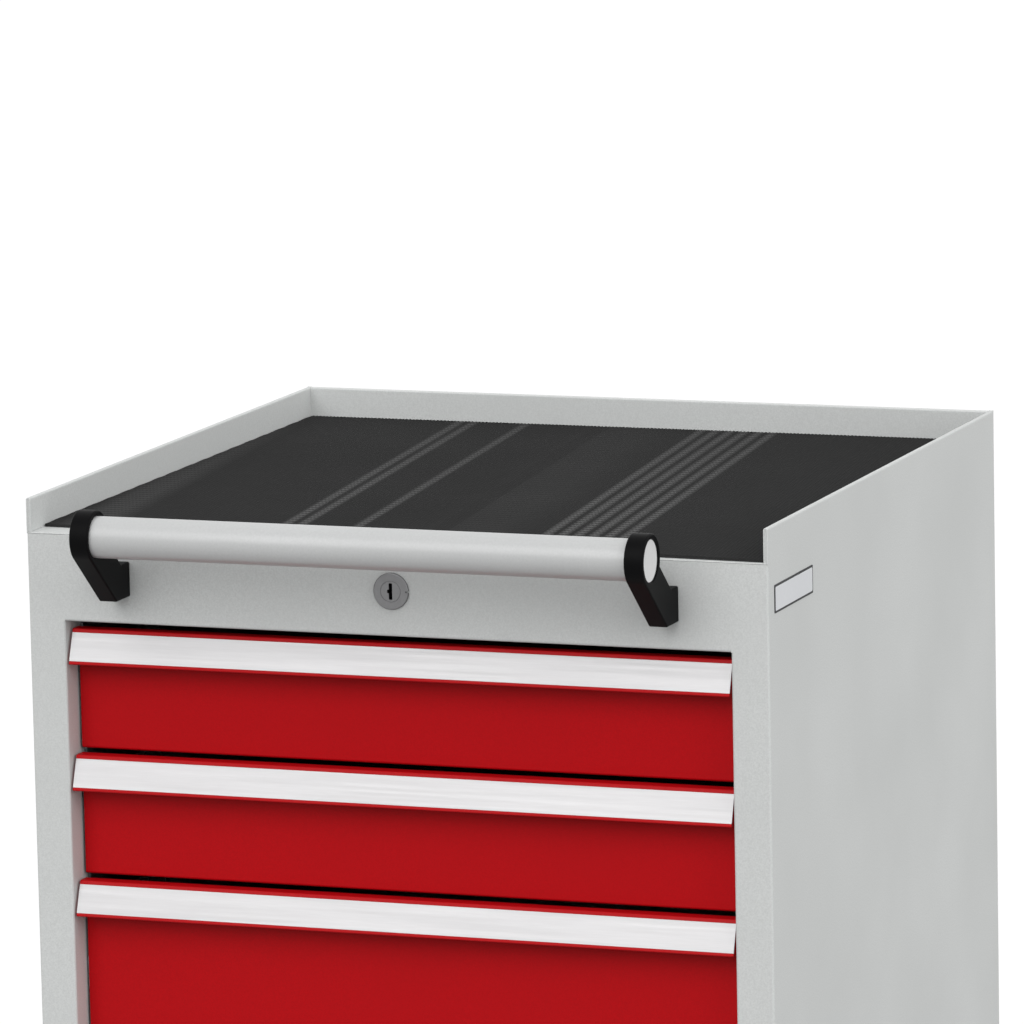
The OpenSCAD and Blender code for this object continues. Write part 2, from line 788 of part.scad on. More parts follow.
module castor_plate(y) {
  difference() {
    both_sides() block([castor_x - plate_l / 2, y - plate_d / 2, plate_z],
                       [castor_x + plate_l / 2, y + plate_d / 2, castor_h]);
    at_castor_bolts(y) translate([0, 0, plate_z - cut])
      cylinder(h = plate_th + 2 * cut, r = bolt_d / 2 + screw_gap);
  }
}

// Plates of the swivel castors, with the bearing and the kingpin under them
module swivel_castor_plates() {
  color("silver") {
    castor_plate(fork_y);
    both_sides() translate([castor_x, fork_y, 0]) {
      translate([0, 0, swivel_z]) cylinder(h = swivel_h, r = swivel_d / 2);
      translate([0, 0, crown_z0 - run_gap - kingpin_head_h]) {
        cylinder(h = kingpin_head_h, r = kingpin_head_r);
        cylinder(h = kingpin_head_h + 2 * run_gap + crown_t, r = kingpin_d / 2);
      }
    }
  }
}

// One fork leg seen from the side, from its top down to the round eye at the axle
module leg_outline(back, top, dy) {
  polygon([
    [-leg_top_half, top],
    [-leg_top_half, top - leg_shoulder_h],
    [dy - leg_neck_half, axle_z - leg_neck_drop],
    [dy + leg_neck_half, axle_z - leg_neck_drop],
    [back, top]
  ]);
  translate([dy, axle_z]) circle(r = leg_eye_r);
}

module fork_legs(y, back, top, dy) {
  for (side = [-1, 1])
    translate([side * (fork_w + fork_t) / 2 - fork_t / 2, y, 0])
      rotate([90, 0, 90]) linear_extrude(fork_t) leg_outline(back, top, dy);
}

module fork() {
  color("silver") difference() {
    union() {
      translate([0, fork_y, crown_z0]) cylinder(h = crown_t, r = swivel_d / 2);
      block([-fork_w / 2 - fork_t, fork_y - leg_top_half, crown_z0],
            [fork_w / 2 + fork_t, fork_y + leg_top_half, crown_z1]);
      fork_legs(fork_y, leg_top_half + leg_back_extra, crown_z1, trail);
    }
    translate([0, fork_y, crown_z0 - cut])
      cylinder(h = crown_t + 2 * cut, r = kingpin_d / 2 + turn_gap);
    x_bar(-fork_w, fork_w, fork_y + trail, axle_z, axle_d / 2 + seat_gap);
    x_bar(-fork_w, fork_w, fork_y + pivot_dy, castor_h + pivot_dz,
          pedal_pin_d / 2 + turn_gap);
  }
}

// Bolt and nut that carry a wheel between two legs
module wheel_bolt(y) {
  outer = fork_w / 2 + fork_t;
  head_h = axle_d / 2;
  x_bar(-outer - cut, outer + head_h + bolt_end, y, axle_z, axle_d / 2);
  translate([-outer - head_h, y, axle_z]) rotate([0, 90, 0])
    cylinder(h = head_h, r = hex_r(axle_d), $fn = 6);
  difference() {
    translate([outer, y, axle_z]) rotate([0, 90, 0])
      cylinder(h = head_h, r = hex_r(axle_d), $fn = 6);
    x_bar(outer - cut, outer + head_h + cut, y, axle_z, axle_d / 2 + seat_gap);
  }
}

module fork_axle() {
  color("silver") wheel_bolt(fork_y + trail);
}

// Moves a castor part to the left or the right, as seen from the front
module on_side(side) {
  translate([side * castor_x, 0, 0]) children();
}

// Tyre with rounded shoulders
module tyre(y) {
  inner_r = wheel_r - tyre_h + turn_gap;
  color("gray") translate([0, y, axle_z]) rotate([0, 90, 0]) rotate_extrude() difference() {
    union() {
      translate([0, -wheel_w / 2]) square([wheel_r - shoulder_r, wheel_w]);
      translate([0, -wheel_w / 2 + shoulder_r])
        square([wheel_r, wheel_w - 2 * shoulder_r]);
      for (side = [-1, 1])
        translate([wheel_r - shoulder_r, side * (wheel_w / 2 - shoulder_r)])
          circle(r = shoulder_r);
    }
    translate([-wheel_d, -wheel_w]) square([wheel_d + inner_r, 2 * wheel_w]);
  }
}

// Wheel body: rim, web and hub
module wheel_core(y) {
  rim_r = wheel_r - tyre_h;
  rim_inset = 1;
  rim_w = wheel_w - 2 * rim_inset;
  color("dimgray") translate([0, y, axle_z]) rotate([0, 90, 0]) rotate_extrude() difference() {
    union() {
      translate([0, -hub_w / 2]) square([hub_d / 2, hub_w]);
      translate([0, -web_t / 2]) square([rim_r, web_t]);
      translate([rim_r - wheel_rim_t, -rim_w / 2]) square([wheel_rim_t, rim_w]);
    }
    translate([-hub_d, -hub_w]) square([hub_d + axle_d / 2 + turn_gap, 2 * hub_w]);
  }
}

// Brake pedal: a tread plate in front of its pivot and a shoe that hangs before the tyre.
// Points are given from the pivot, and the shoe's from the point nearest the tyre.
module brake_pedal() {
  py = fork_y + pivot_dy;
  pz = castor_h + pivot_dz;
  shoe_r = wheel_r + shoe_gap;
  shoe_y = fork_y + trail + shoe_r * cos(shoe_angle);
  shoe_z = axle_z + shoe_r * sin(shoe_angle);
  half = pedal_w / 2;
  top = pz + pedal_t / 2;
  bottom = pz - pedal_t / 2;
  heel = py + 4;
  tip = py - pedal_l;
  tread_rise = 2;
  tip_bevel = 6;
  tip_undercut = 2;
  web_start = 9;
  web_sag = 1;
  shoe_depth = 10;
  shoe_height = 6;
  pin_short = 0.5;
  color("black") {
    x_profile(-half, half, [
      [heel, top],
      [tip + tip_bevel, top + tread_rise],
      [tip, top - tread_rise],
      [tip + tip_undercut, bottom],
      [py - web_start, bottom - web_sag],
      [shoe_y - shoe_depth, shoe_z + web_sag],
      [shoe_y, shoe_z],
      [shoe_y + web_sag, shoe_z + shoe_height],
      [heel, bottom]
    ]);
    x_bar(-fork_w / 2 + run_gap, fork_w / 2 - run_gap, py, pz, pedal_pin_d);
    x_bar(-fork_w / 2 - fork_t + pin_short, fork_w / 2 + fork_t - pin_short, py, pz,
          pedal_pin_d / 2);
  }
}

// Brackets of the rear castors, which don't swivel
module fixed_castor_brackets() {
  color("silver") {
    castor_plate(fixed_y);
    both_sides() translate([castor_x, 0, 0]) difference() {
      fork_legs(fixed_y, leg_top_half, plate_z, 0);
      x_bar(-fork_w, fork_w, fixed_y, axle_z, axle_d / 2 + seat_gap);
    }
  }
}

module fixed_castor_axles() {
  color("silver") both_sides() translate([castor_x, 0, 0]) wheel_bolt(fixed_y);
}

// Bolts with their nuts, four for each castor
module castor_bolts() {
  head_h = 5.3;
  nut_h = 6.5;
  nut_z = castor_h + channel_t;
  color("silver") for (y = [fork_y, fixed_y])
    at_castor_bolts(y) {
      translate([0, 0, plate_z - head_h]) cylinder(h = head_h, r = hex_r(bolt_d), $fn = 6);
      translate([0, 0, plate_z])
        cylinder(h = nut_z + nut_h + bolt_end - plate_z, r = bolt_d / 2);
      difference() {
        translate([0, 0, nut_z]) cylinder(h = nut_h, r = hex_r(bolt_d), $fn = 6);
        translate([0, 0, nut_z - cut])
          cylinder(h = nut_h + 2 * cut, r = bolt_d / 2 + seat_gap);
      }
    }
}

side_panel_left();
side_panel_right();
back_panel();
top_tray();
lock_panel();
base_pan();
castor_channels();
slide_uprights();
cabinet_rails();
rubber_mat();
name_plate();
handle_tube();
handle_end_caps();
handle_brackets();
handle_screws();
lock_housing();
lock_nut();
lock_cylinder();
lock_cam();
lock_bar();
lock_bar_guides();
drawer_box(0);  // drawer_1_box
drawer_front(0);  // drawer_1_front
drawer_strip(0);  // drawer_1_strip
mid_rails(0);  // drawer_1_mid_rails
drawer_box(1);  // drawer_2_box
drawer_front(1);  // drawer_2_front
drawer_strip(1);  // drawer_2_strip
mid_rails(1);  // drawer_2_mid_rails
drawer_box(2);  // drawer_3_box
drawer_front(2);  // drawer_3_front
drawer_strip(2);  // drawer_3_strip
mid_rails(2);  // drawer_3_mid_rails
drawer_box(3);  // drawer_4_box
drawer_front(3);  // drawer_4_front
drawer_strip(3);  // drawer_4_strip
mid_rails(3);  // drawer_4_mid_rails
drawer_box(4);  // drawer_5_box
drawer_front(4);  // drawer_5_front
drawer_strip(4);  // drawer_5_strip
mid_rails(4);  // drawer_5_mid_rails
swivel_castor_plates();
fixed_castor_brackets();
fixed_castor_axles();
castor_bolts();
on_side(-1) fork();  // left_fork
on_side(-1) fork_axle();  // left_fork_axle
on_side(-1) tyre(fork_y + trail);  // left_front_tyre
on_side(-1) wheel_core(fork_y + trail);  // left_front_wheel
on_side(-1) brake_pedal();  // left_brake_pedal
on_side(-1) tyre(fixed_y);  // left_rear_tyre
on_side(-1) wheel_core(fixed_y);  // left_rear_wheel
on_side(1) fork();  // right_fork
on_side(1) fork_axle();  // right_fork_axle
on_side(1) tyre(fork_y + trail);  // right_front_tyre
on_side(1) wheel_core(fork_y + trail);  // right_front_wheel
on_side(1) brake_pedal();  // right_brake_pedal
on_side(1) tyre(fixed_y);  // right_rear_tyre
on_side(1) wheel_core(fixed_y);  // right_rear_wheel
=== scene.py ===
import json
import math

import bmesh
import bpy
import numpy as np
from mathutils import Matrix, Vector
from mathutils.geometry import tessellate_polygon


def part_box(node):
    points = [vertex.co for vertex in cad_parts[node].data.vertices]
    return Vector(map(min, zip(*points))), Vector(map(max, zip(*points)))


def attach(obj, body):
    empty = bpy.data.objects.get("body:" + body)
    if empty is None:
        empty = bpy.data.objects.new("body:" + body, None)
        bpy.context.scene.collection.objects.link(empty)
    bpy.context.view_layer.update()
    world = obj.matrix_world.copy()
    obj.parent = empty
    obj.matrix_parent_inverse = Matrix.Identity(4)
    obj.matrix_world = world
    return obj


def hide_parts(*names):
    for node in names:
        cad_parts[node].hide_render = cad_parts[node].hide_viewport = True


# Mobile drawer cabinet. Lengths are in millimetres until a mesh is stored, in metres.
mmPerMetre = 1000
weldWithin = 2e-6  # metres: points closer than this become one
shortEdge = 1e-6  # metres: edges shorter than this are taken out
noTurn = 1e-6  # millimetres: arcs shorter than this stay a plain corner
sharpAngle = 40  # degrees: from here on an edge is shaded sharp, or bevelled on a copy
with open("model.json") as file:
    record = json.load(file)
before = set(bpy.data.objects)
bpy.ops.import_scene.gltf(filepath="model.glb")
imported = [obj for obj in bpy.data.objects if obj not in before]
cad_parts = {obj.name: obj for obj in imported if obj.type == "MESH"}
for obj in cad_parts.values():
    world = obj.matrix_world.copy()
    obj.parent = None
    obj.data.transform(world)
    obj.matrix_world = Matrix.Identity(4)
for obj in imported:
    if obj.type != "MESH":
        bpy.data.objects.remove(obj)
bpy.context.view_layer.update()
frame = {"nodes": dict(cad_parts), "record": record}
print("frame loaded:", len(frame["nodes"]), "nodes")


def boxOf(node):
    # lowest and highest corner of a CAD node, in millimetres
    low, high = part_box(node)
    return np.array(low) * mmPerMetre, np.array(high) * mmPerMetre


def pointsOf(mesh):
    # a mesh's points as rows of x, y and z, in millimetres
    points = np.empty(len(mesh.vertices) * 3, np.float32)
    mesh.vertices.foreach_get("co", points)
    return points.reshape(-1, 3) * mmPerMetre


def jointOf(name):
    joints = frame["record"]["behaviour"]["joints"]
    return next(joint for joint in joints if joint["name"] == name)


# Places that many pieces share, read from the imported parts
wallLow, wallHigh = boxOf("side_panel_left")
trayLow, trayHigh = boxOf("top_tray")
panelLow, panelHigh = boxOf("lock_panel")
panLow, panHigh = boxOf("base_pan")
halfWidth = -wallLow[0]
openingHalf = -wallHigh[0]
frontY, backY = wallLow[1], wallHigh[1]
footZ, rimTopZ = wallLow[2], wallHigh[2]
trayZ = trayHigh[2]
sheetT = halfWidth + trayLow[0]
trayBackY = trayHigh[1]
openingLowZ, openingHighZ = panHigh[2], panelLow[2]


# Curves
def unit(vectors):
    return vectors / np.linalg.norm(vectors, axis=-1, keepdims=True)


def leftOf(directions):
    # a quarter turn to the left of each plane direction
    return np.stack([-directions[..., 1], directions[..., 0]], axis=-1)


def roundedLine(corners, radii, steps=5, closed=False):
    # Each corner becomes an arc that touches both of its sides: it starts radius * tan(turn / 2)
    # before the corner, and its points turn evenly from one side's normal to the other's.
    corners = np.asarray(corners, float)
    radii = np.broadcast_to(np.asarray(radii, float), len(corners))
    sides = unit(np.roll(corners, -1, 0) - corners)
    points, normals = [], []
    for i, radius in enumerate(radii):
        into, out = sides[i - 1], sides[i]
        if not closed and i == 0:
            into = out
        if not closed and i == len(corners) - 1:
            out = into
        turn = math.atan2(into[0] * out[1] - into[1] * out[0], into @ out)
        normal = leftOf(into)
        if radius * abs(turn) < noTurn:
            middle = unit(normal + leftOf(out))
            points.append(corners[i:i + 1])
            normals.append(middle[None] / (middle @ normal))
            continue
        towards = math.copysign(radius, turn)
        centre = corners[i] - into * radius * math.tan(abs(turn) / 2) + normal * towards
        angles = np.linspace(0, turn, steps + 1)
        around = normal * np.cos(angles)[:, None] - into * np.sin(angles)[:, None]
        points.append(centre - around * towards)
        normals.append(around)
    return np.concatenate(points), np.concatenate(normals)


def arc(centre, radius, start, end, steps=24):
    # points on a circle from one angle to another, in degrees
    angles = np.radians(np.linspace(start, end, steps + 1))
    return np.asarray(centre) + radius * np.stack([np.cos(angles), np.sin(angles)], axis=-1)


def circle(centre, radius, steps=48):
    return arc(centre, radius, 0, 360, steps)[:-1]


def toSpace(flat, along, axis):
    # a plane point (a, b) and a place along the axis become (x, y, z)
    across = [k for k in range(3) if k != axis]
    space = np.empty(flat.shape[:-1] + (3,))
    space[..., across] = flat
    space[..., axis] = along
    return space


def edgeSteps(edge, count=3):
    # Stations on a rounded edge: how far in from the face, and how far the surface still is
    # from its full size there, both as parts of a quarter circle.
    angles = np.radians(np.linspace(90, 0, count + 1))
    return edge * (1 - np.sin(angles)), edge * (1 - np.cos(angles))


def stations(low, high, edge, hard):
    # places from low to high with the rounding of each end that isn't hard, and the insets
    inward, inset = edgeSteps(edge)
    starts = ([low], [0]) if "low" in hard else (low + inward, inset)
    ends = ([high], [0]) if "high" in hard else (high - inward[::-1], inset[::-1])
    return np.concatenate([starts[0], ends[0]]), np.concatenate([starts[1], ends[1]])


# Closed shells: points, quads and triangles
noTriangles = np.empty((0, 3), int)


def ringQuads(rows, count):
    # quads between neighbouring rows of a grid whose columns close into a ring
    row, column = np.meshgrid(np.arange(rows - 1), np.arange(count), indexing="ij")
    after = (column + 1) % count
    corners = [row * count + column, row * count + after,
               (row + 1) * count + after, (row + 1) * count + column]
    return np.stack(corners, axis=-1).reshape(-1, 4)


def sheetShell(grid):
    # The grid's rows are closed loops: out along one skin and back along the other. The first
    # and last loop are closed by quads that join the two skins.
    rows, count = grid.shape[:2]
    i = np.arange(count // 2 - 1)
    cap = np.stack([i, i + 1, count - 2 - i, count - 1 - i], axis=-1)
    quads = np.concatenate([ringQuads(rows, count), cap, cap + (rows - 1) * count])
    return grid.reshape(-1, 3), quads, noTriangles


def foldedSheet(corners, thickness, axis, low, high, bend=1.0, edge=0.35, hard=""):
    # A bent sheet: the corners are its outer skin, with the sheet on their left. The middle line
    # is that line set in by half the thickness, with an arc at each bend. Both skins lie half
    # a thickness from it, and round off as quarter circles at the cut edges. Those that hard
    # names stay square: the line's first or last, or the low or high end.
    outer, inward = roundedLine(corners, 0)
    middle = outer + inward * thickness / 2
    line, normals = roundedLine(middle, bend + thickness / 2)
    first, last = unit(line[1] - line[0]), unit(line[-2] - line[-1])
    inset = np.zeros(len(line))
    inwardSteps, insetSteps = edgeSteps(edge)
    if "first" not in hard:
        line = np.concatenate([line[0] + inwardSteps[:, None] * first, line[1:]])
        normals = np.concatenate([np.repeat(normals[:1], len(insetSteps), 0), normals[1:]])
        inset = np.concatenate([insetSteps, inset[1:]])
    if "last" not in hard:
        line = np.concatenate([line[:-1], line[-1] + inwardSteps[::-1, None] * last])
        normals = np.concatenate([normals[:-1], np.repeat(normals[-1:], len(insetSteps), 0)])
        inset = np.concatenate([inset[:-1], insetSteps[::-1]])
    along, alongInset = stations(low, high, edge, hard)
    half = thickness / 2 - np.maximum(inset[None], alongInset[:, None])
    skin = normals * half[..., None]
    loops = np.concatenate([line - skin, (line + skin)[:, ::-1]], axis=1)
    return sheetShell(toSpace(loops, along[:, None], axis))


def slab(loops, axis, low, high, edge=0.4, hard=""):
    # Closed outlines carried along an axis. Outer ones run to the left and holes to the right,
    # so that the material is on the left of both. Near the two faces each outline draws in
    # as a quarter circle, and the faces are filled with triangles between the outlines. Hard
    # names the faces without that: low, high or both.
    along, inset = stations(low, high, edge, hard)
    points, quads, firsts, count = [], [], [], 0
    for line, normals in loops:
        drawn = line + normals * inset[:, None, None]
        points.append(toSpace(drawn, along[:, None], axis).reshape(-1, 3))
        quads.append(ringQuads(len(along), len(line)) + count)
        firsts.append(count + np.arange(len(line)))
        count += drawn[..., 0].size
    points = np.concatenate(points)
    across = [k for k in range(3) if k != axis]
    flat = [[Vector((*points[i, across], 0)) for i in first] for first in firsts]
    face = np.concatenate(firsts)[np.array(tessellate_polygon(flat))]
    opposite = {k: k + (len(along) - 1) * len(first) for first in firsts for k in first}
    far = np.vectorize(opposite.get)(face)
    return points, np.concatenate(quads), np.concatenate([face, far[:, ::-1]])


def outline(corners, radii=0, steps=5):
    return roundedLine(corners, radii, steps, closed=True)


def hole(corners, radii=0, steps=5):
    return outline(corners[::-1], np.broadcast_to(radii, len(corners))[::-1], steps)


def disc(centre, radius, steps=48):
    return outline(circle(centre, radius, steps))


def bore(centre, radius, steps=48):
    return hole(circle(centre, radius, steps))


def block(low, high, axis=2, radii=0, edge=0.0, hard="low high", steps=5):
    # a rectangle with round corners, carried along the axis from one corner of space to another
    a, b = (k for k in range(3) if k != axis)
    corners = [(low[a], low[b]), (high[a], low[b]), (high[a], high[b]), (low[a], high[b])]
    return slab([outline(corners, radii, steps)], axis, low[axis], high[axis], edge, hard)


def drill(centre, radius, axis, low, high, steps=48):
    # a plain round bar that cuts a hole
    return slab([disc(centre, radius, steps)], axis, low, high, 0, "low high")


def turned(corners, radii, axis, centre, segments=64, limit=None):
    # A closed section of (place along the axis, radius), its corners rounded, turned about the
    # axis: radius * cos(angle) and radius * sin(angle) are its places across. A limit, as
    # a function of the angle, holds the radius down, as the flats of a hexagon do.
    profile, _ = roundedLine(corners, radii, 4, closed=True)
    angles = np.linspace(0, 2 * math.pi, segments, endpoint=False)[:, None]
    radius = np.broadcast_to(profile[:, 1], (segments, len(profile)))
    if limit is not None:
        radius = np.minimum(radius, limit(angles))
    flat = np.stack([radius * np.cos(angles), radius * np.sin(angles)], axis=-1)
    grid = toSpace(flat + np.asarray(centre, float), profile[:, 0], axis)
    quads = ringQuads(segments + 1, len(profile)) % grid[..., 0].size
    return grid.reshape(-1, 3), quads, noTriangles


def hexagon(acrossFlats):
    # distance from the middle to a hexagon's side in each direction
    def limit(angles):
        sixth = math.pi / 3
        return acrossFlats / 2 / np.cos(angles % sixth - sixth / 2)
    return limit


def mirrored(shell):
    points, quads, triangles = shell
    return points * (-1, 1, 1), quads, triangles


def moved(shell, offset):
    points, quads, triangles = shell
    return points + offset, quads, triangles


def onBothSides(shells):
    return shells + [mirrored(shell) for shell in shells]


# Pieces
def meshOf(name, shells):
    # Each shell has its doubles merged and its faces turned outwards by itself.
    joined = bmesh.new()
    for points, quads, triangles in shells:
        part = bmesh.new()
        mesh = bpy.data.meshes.new("shell")
        mesh.from_pydata((np.asarray(points) / mmPerMetre).tolist(), [],
                         quads.tolist() + triangles.tolist())
        part.from_mesh(mesh)
        bmesh.ops.remove_doubles(part, verts=part.verts, dist=weldWithin)
        bmesh.ops.dissolve_degenerate(part, edges=part.edges, dist=shortEdge)
        alone = [edge for edge in part.edges if not edge.link_faces]
        bmesh.ops.delete(part, geom=alone, context="EDGES")
        bmesh.ops.recalc_face_normals(part, faces=part.faces)
        part.to_mesh(mesh)
        part.free()
        joined.from_mesh(mesh)
        bpy.data.meshes.remove(mesh)
    mesh = bpy.data.meshes.new(name)
    joined.to_mesh(mesh)
    joined.free()
    return mesh


def finishPiece(name, shells, finish, node, body="cabinet", sharp=sharpAngle,
                cutters=None, fused=False):
    # The piece takes the place of a CAD node, and its finish also names its material slot.
    # Cutters are shells taken out of the piece, and fused makes shells that touch one body.
    tools, operation = cutters, "DIFFERENCE"
    if fused and not cutters:
        shells, tools, operation = shells[:-1], shells[-1:], "UNION"
    mesh = shells if isinstance(shells, bpy.types.Mesh) else meshOf(name, shells)
    piece = bpy.data.objects.new(name, mesh)
    bpy.context.scene.collection.objects.link(piece)
    if tools:
        combine(piece, tools, operation, fused)
    piece.data.materials.clear()
    piece.data.materials.append(paint[finish])
    piece.data.shade_smooth()
    piece.data.set_sharp_from_angle(angle=math.radians(sharp))
    weighted = piece.modifiers.new("face weights", "WEIGHTED_NORMAL")
    weighted.keep_sharp = True
    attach(piece, body)
    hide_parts(node)
    return piece


def combine(piece, shells, operation, fused):
    # joins the shells to the piece or cuts them out of it, and keeps the result as its mesh
    tool = bpy.data.objects.new("tool", meshOf("tool", shells))
    bpy.context.scene.collection.objects.link(tool)
    boolean = piece.modifiers.new("combine", "BOOLEAN")
    boolean.operation = operation
    boolean.solver = "EXACT"
    boolean.use_self = fused
    boolean.object = tool
    evaluated = piece.evaluated_get(bpy.context.evaluated_depsgraph_get())
    result = bpy.data.meshes.new_from_object(evaluated)
    piece.modifiers.remove(boolean)
    piece.data = result
    bpy.data.objects.remove(tool)


def softenedCopy(name, node, finish, body="cabinet", width=0.3):
    # a copy of a CAD node with its loose triangles merged and its edges slightly bevelled
    work = bmesh.new()
    work.from_mesh(frame["nodes"][node].data)
    bmesh.ops.remove_doubles(work, verts=work.verts, dist=weldWithin)
    flat = math.radians(1)
    bmesh.ops.dissolve_limit(work, angle_limit=flat, verts=work.verts, edges=work.edges)
    mesh = bpy.data.meshes.new(name)
    work.to_mesh(mesh)
    work.free()
    piece = finishPiece(name, mesh, finish, node, body)
    bevel = piece.modifiers.new("edge bevel", "BEVEL")
    bevel.width = width / mmPerMetre
    bevel.segments = 2
    bevel.limit_method = "ANGLE"
    bevel.angle_limit = math.radians(sharpAngle)
    piece.modifiers.move(len(piece.modifiers) - 1, 0)


# Finishes
def linear(colour):
    # screen colour from 0 to 255 to the shader's linear values
    share = np.asarray(colour, float) / 255
    value = np.where(share <= 0.04045, share / 12.92, ((share + 0.055) / 1.055) ** 2.4)
    return (*value, 1)


class Nodes:
    # a short way to add and join the shader nodes of a material or the world
    def __init__(self, owner):
        owner.use_nodes = True
        self.tree = owner.node_tree
        self.shader = self.tree.nodes.get("Principled BSDF")

    def add(self, kind, values=None, **settings):
        node = self.tree.nodes.new("ShaderNode" + kind)
        for key, value in settings.items():
            setattr(node, key, value)
        for key, value in (values or {}).items():
            self.put(node, key, value)
        return node

    def put(self, node, key, value):
        if isinstance(value, bpy.types.NodeSocket):
            self.tree.links.new(value, node.inputs[key])
        else:
            node.inputs[key].default_value = value

    def noise(self, place, perMetre, detail=2.0):
        node = self.add("TexNoise", {"Vector": place, "Scale": perMetre, "Detail": detail})
        return node.outputs["Fac"]

    def spread(self, value, low, high, fromLow=0.3, fromHigh=0.7):
        node = self.add("MapRange", {"Value": value, "From Min": fromLow, "From Max": fromHigh,
                                     "To Min": low, "To Max": high})
        return node.outputs["Result"]

    def mixed(self, share, first, second):
        node = self.add("Mix", data_type="RGBA")
        for key, value in (("Factor", share), ("A", first), ("B", second)):
            sockets = [s for s in node.inputs if s.name == key and s.enabled]
            if isinstance(value, bpy.types.NodeSocket):
                self.tree.links.new(value, sockets[-1])
            else:
                sockets[-1].default_value = value
        return [s for s in node.outputs if s.enabled][0]


usualLook = dict(mottle=0.04, shade=(0.97, 0.97, 0.97), shadeShare=0.5, broadPerMetre=7,
                 broadDetail=3, fineDetail=3, stretch=(1, 1, 1), roughness=0.5,
                 roughnessChange=0.06, relief=0.2, reliefDepth=0.1, metallic=0, specular=0.5,
                 coat=0, coatRoughness=0.2)


def makeFinish(name, changes):
    # Colour, a broad and a fine mottle of it, a roughness that varies, and a fine relief.
    # All patterns lie on the object's own coordinates, stretched where the look says so.
    look = usualLook | changes
    colour = np.array(look["colour"], float)
    material = bpy.data.materials.new(name)
    n = Nodes(material)
    place = n.add("TexCoord").outputs["Object"]
    place = n.add("Mapping", {"Vector": place, "Scale": look["stretch"]}).outputs["Vector"]
    broad = n.noise(place, look["broadPerMetre"], look["broadDetail"])
    fine = n.noise(place, look["grainPerMetre"], look["fineDetail"])
    dark = linear(colour * (1 - look["mottle"]))
    light = linear(np.minimum(colour * (1 + look["mottle"]), 255))
    mottle = n.mixed(n.spread(fine, 0, 1), dark, light)
    shade = linear(colour * look["shade"])
    shaded = n.mixed(n.spread(broad, 0, look["shadeShare"]), mottle, shade)
    n.put(n.shader, "Base Color", shaded)
    roughness, change = look["roughness"], look["roughnessChange"]
    n.put(n.shader, "Roughness", n.spread(broad, roughness - change, roughness + change))
    bump = n.add("Bump", {"Height": fine, "Strength": look["relief"],
                          "Distance": look["reliefDepth"] / mmPerMetre})
    n.put(n.shader, "Normal", bump.outputs["Normal"])
    for socket, key in (("Metallic", "metallic"), ("Specular IOR Level", "specular"),
                        ("Coat Weight", "coat"), ("Coat Roughness", "coatRoughness")):
        n.shader.inputs[socket].default_value = look[key]
    material.diffuse_color = linear(colour)
    return material


looks = {
    "casing paint": dict(colour=(197, 199, 198), grainPerMetre=900, relief=0.25,
                         reliefDepth=0.08, specular=0.2),
    "drawer front paint": dict(colour=(172, 9, 17), grainPerMetre=900, roughness=0.4,
                               reliefDepth=0.06, specular=0.1),
    "drawer box paint": dict(colour=(150, 151, 152), mottle=0.05, grainPerMetre=900,
                             reliefDepth=0.06),
    "strip aluminium": dict(colour=(190, 189, 190), mottle=0.02, grainPerMetre=60,
                            stretch=(1, 60, 60), roughness=0.4, relief=0.05, metallic=0.25),
    "handle paint": dict(colour=(180, 181, 181), mottle=0.02, grainPerMetre=600, roughness=0.36,
                         relief=0.12, reliefDepth=0.05, coat=0.2),
    "cap plastic": dict(colour=(214, 214, 214), mottle=0.01, grainPerMetre=500, relief=0.1),
    "bracket plastic": dict(colour=(8, 8, 9), mottle=0.1, grainPerMetre=1200, roughness=0.45,
                            relief=0.3, reliefDepth=0.06, specular=0.05),
    "mat rubber": dict(colour=(47, 47, 47), mottle=0.08, grainPerMetre=800, roughness=0.85,
                       relief=0.3, reliefDepth=0.06, specular=0.01),
    "name plate white": dict(colour=(205, 207, 210), mottle=0.01, grainPerMetre=500,
                             roughness=0.4, relief=0.05),
    # the frame round the plate's field: dark partly in its own colour and partly as painted shadow
    # along the plate's edges
    "name plate edge": dict(colour=(38, 38, 40), grainPerMetre=500, specular=0.2),
    "lock metal": dict(colour=(122, 122, 123), mottle=0.03, grainPerMetre=300, roughness=0.34,
                       metallic=0.8, relief=0.08),
    "zinc steel": dict(colour=(176, 178, 182), mottle=0.06, grainPerMetre=160, roughness=0.36,
                       metallic=0.85, relief=0.08, shade=(0.93, 0.95, 0.98)),
    "guide plastic": dict(colour=(60, 61, 63), grainPerMetre=600, roughness=0.55),
    "tyre rubber": dict(colour=(120, 121, 122), mottle=0.05, grainPerMetre=500, roughness=0.7,
                        relief=0.3, specular=0.3),
    "wheel plastic": dict(colour=(58, 59, 62), mottle=0.05, grainPerMetre=700),
    "pedal plastic": dict(colour=(34, 34, 36), mottle=0.06, grainPerMetre=900, roughness=0.52),
}
# the key cylinder's own copy of the lock metal, which also carries painted shade inside its key
# slot
looks["key cylinder metal"] = looks["lock metal"]
paint = {name: makeFinish(name, look) for name, look in looks.items()}
print("finishes made:", len(paint))


# Casing
casing = {
    "bendInside": 0.8,
    "rimWidth": 3.7,
    "rimBendInside": 0.55,
    "rimEndSetBack": 0.5,
    "rimEndSheet": 1.2,
    "rimEndEdge": 0.1,
    "postDepth": 30,
    "footFlange": 30,
    "panelLip": 10,
    "edge": 0.4,
    "trayEdge": 0.55,
    "barrelHole": 11.1,
    "screwHead": 5,
    "screwHole": 2.75,
    "cutPast": 1,
    "slotPlay": 1,
    "tabGap": 20,
    "channelDepth": 96,
    "channelSheet": 2,
    "uprightWidth": 40,
    "uprightSheet": 1.5,
}
postY = frontY + casing["postDepth"]
underTray = trayZ - sheetT


def casingSheet(corners, axis, low, high, **changes):
    settings = dict(bend=casing["bendInside"], edge=casing["edge"]) | changes
    return foldedSheet(corners, sheetT, axis, low, high, **settings)


